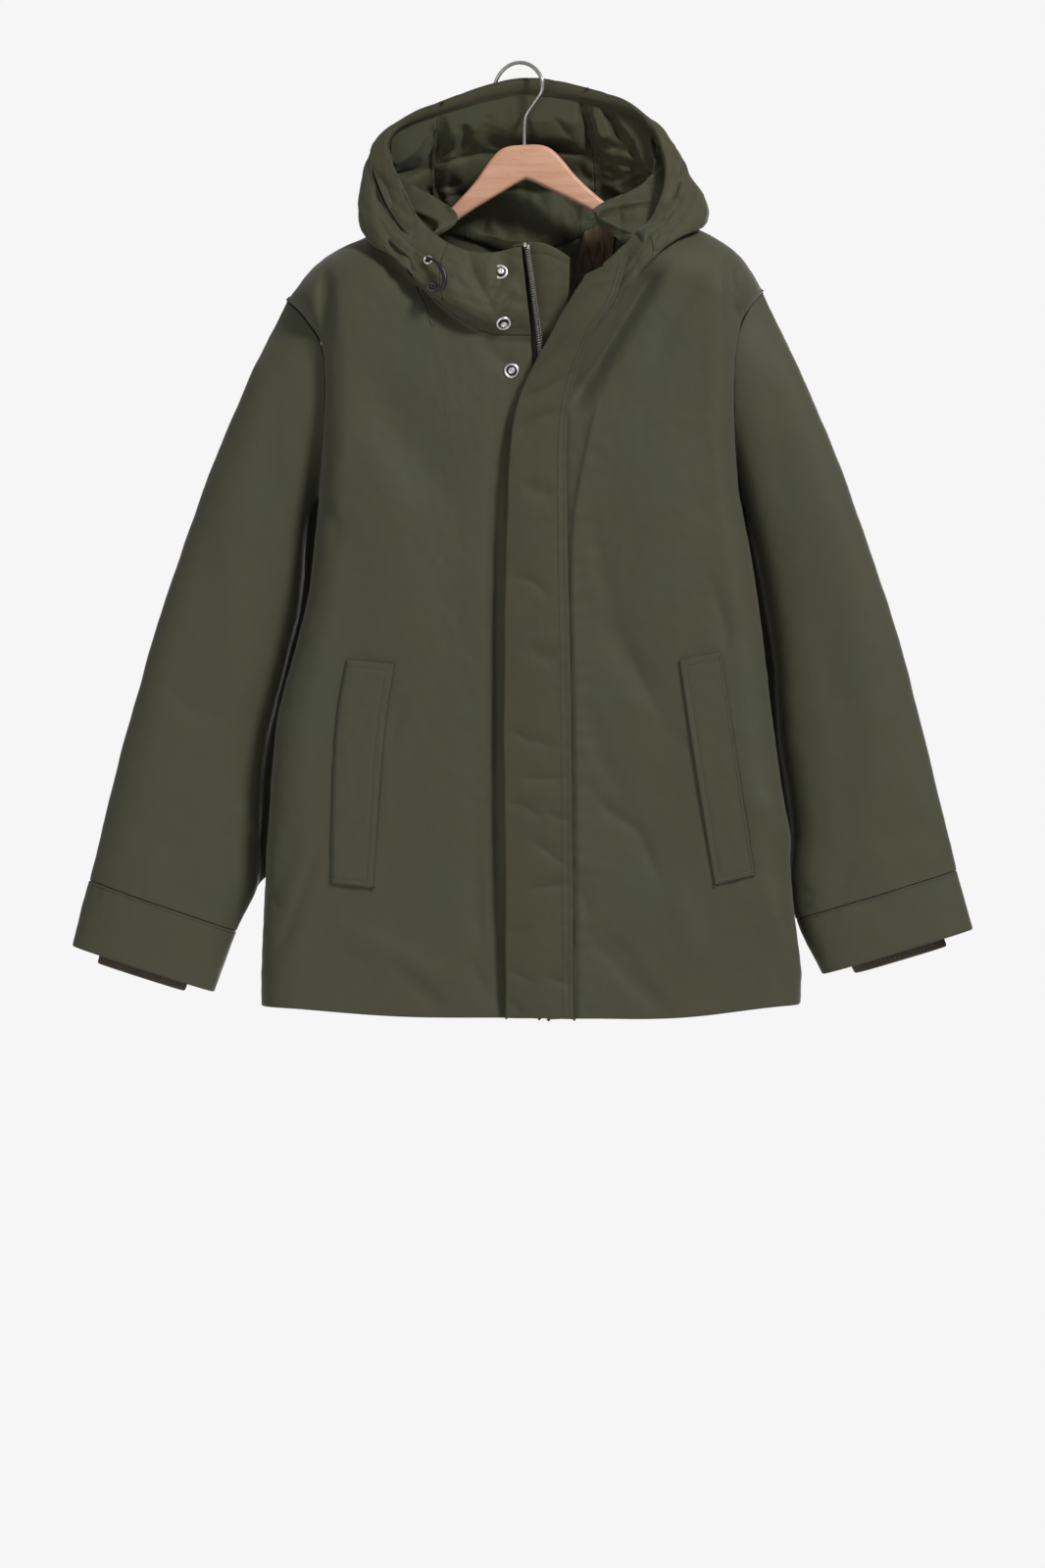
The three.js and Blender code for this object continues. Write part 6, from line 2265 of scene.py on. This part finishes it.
    def build(self) -> None:
        """Makes the zip, hangs the guard behind it and the placket over it."""
        placket = self.placket()
        hang(placket, "placket", PLACKET_CLOTH.material())
        guard = self.guard()
        hang(guard, "zip_guard", HOOD_CLOTH.material())
        tape = ZIP_TAPE.material()
        for name, strip, top in (
            ("zip_tape_right", self.strip("edge", -7, "x", 3.0, (9.0, 1.0)), -190.5),
            ("zip_tape_left", self.strip("x", 1.2, "left", 7, (1.6, 1.6)), -370.0),
        ):
            raw = (Border.RAW,) * 4
            cloth = Cloth(strip, (0.0, 1.0), (-965.0, top), 1, thick=0.9, step=1.6, borders=raw)
            hang(cloth, name, tape, "weave")
        finish_piece(self.teeth(), WORN_NICKEL.material(), ["zip_chain"])
        self.stops()
        v = np.linspace(0.01, 0.995, 900)
        ends = [1 - inset / self.wide for inset in (self.margin, self.margin + self.row_gap)]
        runs = [placket.place(np.full(v.shape, u), v, STITCH_RISE) for u in ends]
        stitch_rows("placket_stitches", runs)
        v = np.linspace(0.9, 0.99, 120)
        u = np.linspace(0.1, 0.82, 80)
        runs = [
            guard.place(np.full(v.shape, 0.83), v, STITCH_RISE),
            guard.place(u, np.full(u.shape, 0.9878), STITCH_RISE),
        ]
        stitch_rows("zip_guard_stitches", runs)


# ---- Snaps, eyelets and the hood's cord ---------------------------------------------------
@dataclass
class Fittings:
    """The metal set in the collar, and the cord between its two eyelets."""

    body: Body
    hood: Hood
    cord_diameter: float = 3.2
    proud: float = 0.9
    stud: tuple[tuple[float, float], ...] = (
        (7.9, -0.6),
        (8.0, 0.5),
        (7.7, 1.1),
        (7.0, 1.75),
        (6.2, 1.85),
        (5.4, 1.4),
        (4.7, 0.7),
        (3.6, 0.6),
        (3.3, 1.2),
        (3.35, 2.4),
        (3.1, 3.0),
        (2.4, 3.25),
        (1.5, 3.2),
        (1.1, 2.7),
        (0.0, 2.6),
    )
    ring: tuple[tuple[float, float], ...] = (
        (4.9, -0.5),
        (5.0, 0.4),
        (4.75, 1.0),
        (4.1, 1.45),
        (3.3, 1.45),
        (2.7, 1.1),
        (2.4, 0.4),
        (2.35, -0.4),
        (0.0, -0.45),
    )

    def on(self, cloth: Cloth, x: float, z: float, u: float, v: float) -> tuple[Array, Array]:
        """A seat on finished cloth at (x, z): its place and its axis."""
        a, b = locate(cloth.face, x, z, u, v)
        return cloth.place(np.array(a), np.array(b))

    def cord_line(self) -> Array:
        """The cord's line: out of the upper eyelet, down in a bow and in at the lower one."""
        eyes = []
        for x, z, u, v in ((-91, -207, 0.17, 0.5), (-87, -234, 0.19, 0.8)):
            a, b = locate(hood_face, x, z, u, v)
            plain = Cloth(hood_face, (0, 1), (0, 1), 1)
            eyes.append(plain.place(np.array(a), np.array(b), 0.3))
        (upper, upper_axis), (lower, lower_axis) = eyes
        knots = np.array(
            [
                upper + upper_axis * 1.2,
                upper + upper_axis * 7,
                (-80, -95, -212),
                (-74, -98, -225),
                (-77, -98, -238),
                lower + lower_axis * 7,
                lower + lower_axis * 1.2,
            ]
        )
        places = run_along(knots)
        at = np.linspace(0, places[-1], 30)
        return np.stack([cubic(places, knots[:, k], at) for k in range(3)], axis=-1)

    def cord(self) -> None:
        """Runs the cord and slides its thicker sleeve on."""
        line = self.cord_line()
        rope = wire("hood_cord_braid", line, np.full(len(line), self.cord_diameter / 2))
        part = line[9:21]
        radii = np.array([1.9, 2.5, 2.75, 2.8, 2.8, 2.8, 2.8, 2.8, 2.8, 2.75, 2.5, 1.9])
        sleeve = wire("hood_cord_sleeve", part, radii)
        for obj, look in ((rope, BLACK_BRAID), (sleeve, BLACK_RUBBER)):
            obj.data.materials.append(look.material())
            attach(obj, "root")
        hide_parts("hood_cord")

    def metal(self) -> None:
        """Sets the snaps and the eyelets."""
        bright, dark = NICKEL.material(), BLACK_NICKEL.material()
        hood = self.hood.panel(0, 1, 1)
        front = self.body.front(True)
        seats = (
            ("snap_1", self.stud, hood, (-18, -217, 0.03, 0.28), bright),
            ("snap_2", self.stud, hood, (-15, -270, 0.03, 0.85), bright),
            ("snap_3", self.stud, front, (-7, -317, 0.1, 0.95), bright),
            ("eyelet_1", self.ring, hood, (-91, -207, 0.17, 0.5), bright),
            ("eyelet_2", self.ring, hood, (-87, -234, 0.19, 0.8), dark),
        )
        for name, profile, cloth, spot, look in seats:
            obj = turned(f"{name}_metal", profile, 44)
            place, axis = self.on(cloth, *spot)
            place = place + axis * self.proud
            seat(obj, place, axis)
            finish_piece(obj, look, [name])
            obj.data.materials.append(BLACK_RUBBER.material() if name == "eyelet_1" else dark)
            inner = 2.45 if name.startswith("eyelet") else 0.0
            for face in obj.data.polygons:
                middle = face.center / MM - Vector(place.tolist())
                off = (middle - Vector(axis.tolist()) * middle.dot(Vector(axis.tolist()))).length
                # On the snaps the groove between 3.3 and 5.3 mm from the axis takes the dark metal: painted
                # shade in the recess.
                deep = 3.3 < off < 5.3 and name.startswith("snap")
                face.material_index = 1 if off < inner or deep else 0

    def build(self) -> None:
        """Sets the metal in the collar."""
        self.metal()


# ---- Hanger -------------------------------------------------------------------------------
@dataclass
class Hanger:
    """The wooden hanger and its wire hook."""

    middle: float = 6.0
    top: float = -82.0
    thick: float = 14.0
    tilt: float = 2.6
    edge: float = 4.2
    wire: float = 4.0
    bend: float = 30.0
    turn: float = 32.0
    outline: tuple[tuple[float, float], ...] = (
        (0, 0),
        (15, -0.6),
        (25, -4),
        (33, -11),
        (41, -21),
        (50, -33),
        (62, -46),
        (79, -62),
        (104, -83),
        (140, -103),
        (176, -122),
        (212, -140),
        (216, -144),
        (217, -149),
        (213, -153.5),
        (206, -154),
        (172, -137),
        (140, -119),
        (108, -99),
        (79, -79),
        (57, -65),
        (38, -54.5),
        (24, -47),
        (12, -40.5),
        (4, -36.6),
        (0, -35.2),
    )

    def smooth_outline(self) -> Array:
        """The half outline with even, fine places."""
        points = np.array(self.outline, float)
        run = run_along(points)
        at = np.linspace(0, run[-1], 110)
        return np.stack([cubic(run, points[:, k], at) for k in range(2)], axis=-1)

    def wood(self) -> None:
        """Draws half the outline by extruding a point, fills, mirrors, thickens and rounds it."""
        half = self.smooth_outline()
        bpy.ops.object.select_all(action="DESELECT")
        bpy.ops.mesh.primitive_plane_add(size=2 * MM, location=(0, 0, 0))
        obj = bpy.context.object
        obj.name = obj.data.name = "hanger_wood"
        edit(obj)
        choose(obj, "verts", lambda m: not (m.x > 0 and m.y > 0))
        bpy.ops.mesh.delete(type="VERT")
        bpy.ops.mesh.select_all(action="SELECT")
        x, z = half[0]
        bpy.ops.transform.translate(value=(x * MM - MM, -MM, z * MM))
        for (x0, z0), (x1, z1) in zip(half[:-1], half[1:]):
            bpy.ops.mesh.extrude_region_move(
                TRANSFORM_OT_translate={"value": ((x1 - x0) * MM, 0, (z1 - z0) * MM)}
            )
        bpy.ops.mesh.select_all(action="SELECT")
        bpy.ops.mesh.edge_face_add()
        bpy.ops.mesh.extrude_region_move(TRANSFORM_OT_translate={"value": (0, self.thick * MM, 0)})
        choose(obj, "faces", lambda m: abs(m.x) < 0.01)
        bpy.ops.mesh.delete(type="FACE")
        bpy.ops.mesh.select_all(action="SELECT")
        bpy.ops.mesh.normals_make_consistent(inside=False)
        close_edit()
        apply_modifier(obj, "MIRROR", use_clip=True, merge_threshold=0.02 * MM)
        corner = {"limit_method": "ANGLE", "angle_limit": math.radians(50)}
        apply_modifier(obj, "BEVEL", width=self.edge * MM, segments=5, **corner)
        edit(obj)
        bpy.ops.mesh.select_all(action="SELECT")
        bpy.ops.mesh.normals_make_consistent(inside=False)
        close_edit()
        bpy.ops.object.shade_smooth_by_angle(angle=math.radians(35))
        place = Matrix.Translation(Vector((self.middle * MM, -self.thick / 2 * MM, self.top * MM)))
        level = Matrix.Rotation(math.radians(-self.tilt), 4, "Y")
        obj.data.transform(place @ level)
        obj.data.update()
        finish_piece(obj, Beech().material(), ["hanger_body"])

    def hook(self) -> None:
        """Bends the wire: a stem that leans forwards and a round hook, its tip rounded."""
        angles = np.radians(np.linspace(20, 178, 26))
        turn = math.radians(self.turn)
        reach = self.bend * np.cos(angles)
        arc = np.stack(
            [reach * math.cos(turn), -reach * math.sin(turn), self.bend * np.sin(angles) - 28], axis=-1
        )
        stem = np.array([(6, 0, -88), (6, 0, -66), (7.5, -1, -53), (16, -8, -40), (23.5, -14, -29)], float)
        knots = np.concatenate([stem, arc])
        run = run_along(knots)
        at = np.linspace(0, run[-1], 90)
        at = np.concatenate([at, run[-1] + np.array([0.5, 1.0, 1.5, 1.9, 2.0])])
        line = np.stack([cubic(run, knots[:, k], np.minimum(at, run[-1])) for k in range(3)], axis=-1)
        ahead = (line[89] - line[88]) / np.linalg.norm(line[89] - line[88])
        line = line + np.maximum(at - run[-1], 0)[:, None] * ahead
        past = np.maximum(at - run[-1], 0) / (self.wire / 2)
        radii = self.wire / 2 * np.sqrt(np.maximum(0.003, 1 - past**2))
        obj = wire("hanger_wire", line, radii)
        only(obj)
        bpy.ops.object.convert(target="MESH")
        obj = bpy.context.object
        finish_piece(obj, STEEL_WIRE.material(), ["hanger_hook"])
        bpy.ops.object.shade_smooth_by_angle(angle=math.radians(60))

    def build(self) -> None:
        """Makes the wood and the wire."""
        self.wood()
        self.hook()


# ---- Studio -------------------------------------------------------------------------------
@dataclass
class Studio:
    """A pale floor, soft lights and the camera."""

    camera_at: tuple[float, float, float] = (0.004, -6.0, -0.734)
    lens: float = 135.0
    floor: float = -1.75
    backdrop: float = 0.92
    ambient: float = 0.17
    shine: float = 0.4
    key: float = 154.0
    fill: float = 34.0
    back: float = 70.0

    def camera(self) -> None:
        """Stands the camera level, straight in front."""
        data = bpy.data.cameras.new("camera")
        data.lens = self.lens
        data.sensor_width = 36
        data.clip_end = 100
        obj = bpy.data.objects.new("camera", data)
        obj.location = self.camera_at
        obj.rotation_euler = (math.pi / 2, 0, 0)
        bpy.context.scene.collection.objects.link(obj)
        bpy.context.scene.camera = obj

    def light(self, name: str, at: tuple[float, float, float], size: float, watts: float) -> None:
        """Hangs a square soft light that faces the coat's middle."""
        data = bpy.data.lights.new(name, "AREA")
        data.size, data.energy = size, watts
        obj = bpy.data.objects.new(name, data)
        obj.location = at
        aim = Vector((0, 0, -0.5)) - Vector(at)
        obj.rotation_euler = aim.to_track_quat("-Z", "Y").to_euler()
        bpy.context.scene.collection.objects.link(obj)

    def ground(self) -> None:
        """Lays a round paper floor that fades into the backdrop at its edge."""
        bpy.ops.object.select_all(action="DESELECT")
        middle = (0, 0, self.floor)
        bpy.ops.mesh.primitive_circle_add(vertices=96, radius=1.45, fill_type="NGON", location=middle)
        obj = bpy.context.object
        obj.name = obj.data.name = "studio_floor"
        bpy.ops.object.transform_apply(location=True)
        look = StudioPaint().material()
        obj.data.materials.append(look)

    def build(self) -> None:
        """Sets the world, the floor and the lights."""
        scene = bpy.context.scene
        scene.view_settings.view_transform = "Standard"
        world = bpy.data.worlds.new("pale_backdrop")
        scene.world = world
        world.use_nodes = True
        tree = world.node_tree
        tree.nodes["Background"].inputs[0].default_value = (1, 1, 1, 1)
        seen = tree.nodes.new("ShaderNodeLightPath")
        strength = tree.nodes.new("ShaderNodeMapRange")
        strength.inputs["To Min"].default_value = self.ambient
        strength.inputs["To Max"].default_value = self.backdrop
        tree.links.new(seen.outputs["Is Camera Ray"], strength.inputs["Value"])
        shine = tree.nodes.new("ShaderNodeMath")
        shine.operation = "MULTIPLY_ADD"
        shine.inputs[1].default_value = self.shine
        tree.links.new(seen.outputs["Is Glossy Ray"], shine.inputs[0])
        tree.links.new(strength.outputs[0], shine.inputs[2])
        tree.links.new(shine.outputs[0], tree.nodes["Background"].inputs[1])
        self.ground()
        self.light("key", (2.4, -2.8, 2.2), 0.9, self.key)
        self.light("fill", (-1.8, -3.4, -1.5), 2.0, self.fill)
        self.light("back", (0.8, 3.6, -0.2), 2.0, self.back)


def main() -> None:
    """Builds the scene: camera and cord first, then the coat, the hanger and the studio."""
    logging.basicConfig(level=logging.INFO, format="%(name)s: %(message)s")
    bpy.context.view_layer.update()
    studio, body, hood = Studio(), Body(), Hood()
    fittings = Fittings(body, hood)
    studio.camera()
    fittings.cord()
    body.build()
    hood.build()
    for hand, rows, side, out, group, seed in (
        ("right", SLEEVE_RIGHT, SIDE_RIGHT, -1, FOLDS_SLEEVE_RIGHT, 201),
        ("left", SLEEVE_LEFT, SIDE_LEFT, 1, FOLDS_SLEEVE_LEFT, 221),
    ):
        Sleeve(hand, rows, side, out, group, seed).build()
    PocketWelt("right", WELT_RIGHT, body).build()
    PocketWelt("left", WELT_LEFT, body).build()
    FrontClosing().build()
    fittings.build()
    Hanger().build()
    studio.build()


if __name__ == "__main__":
    main()
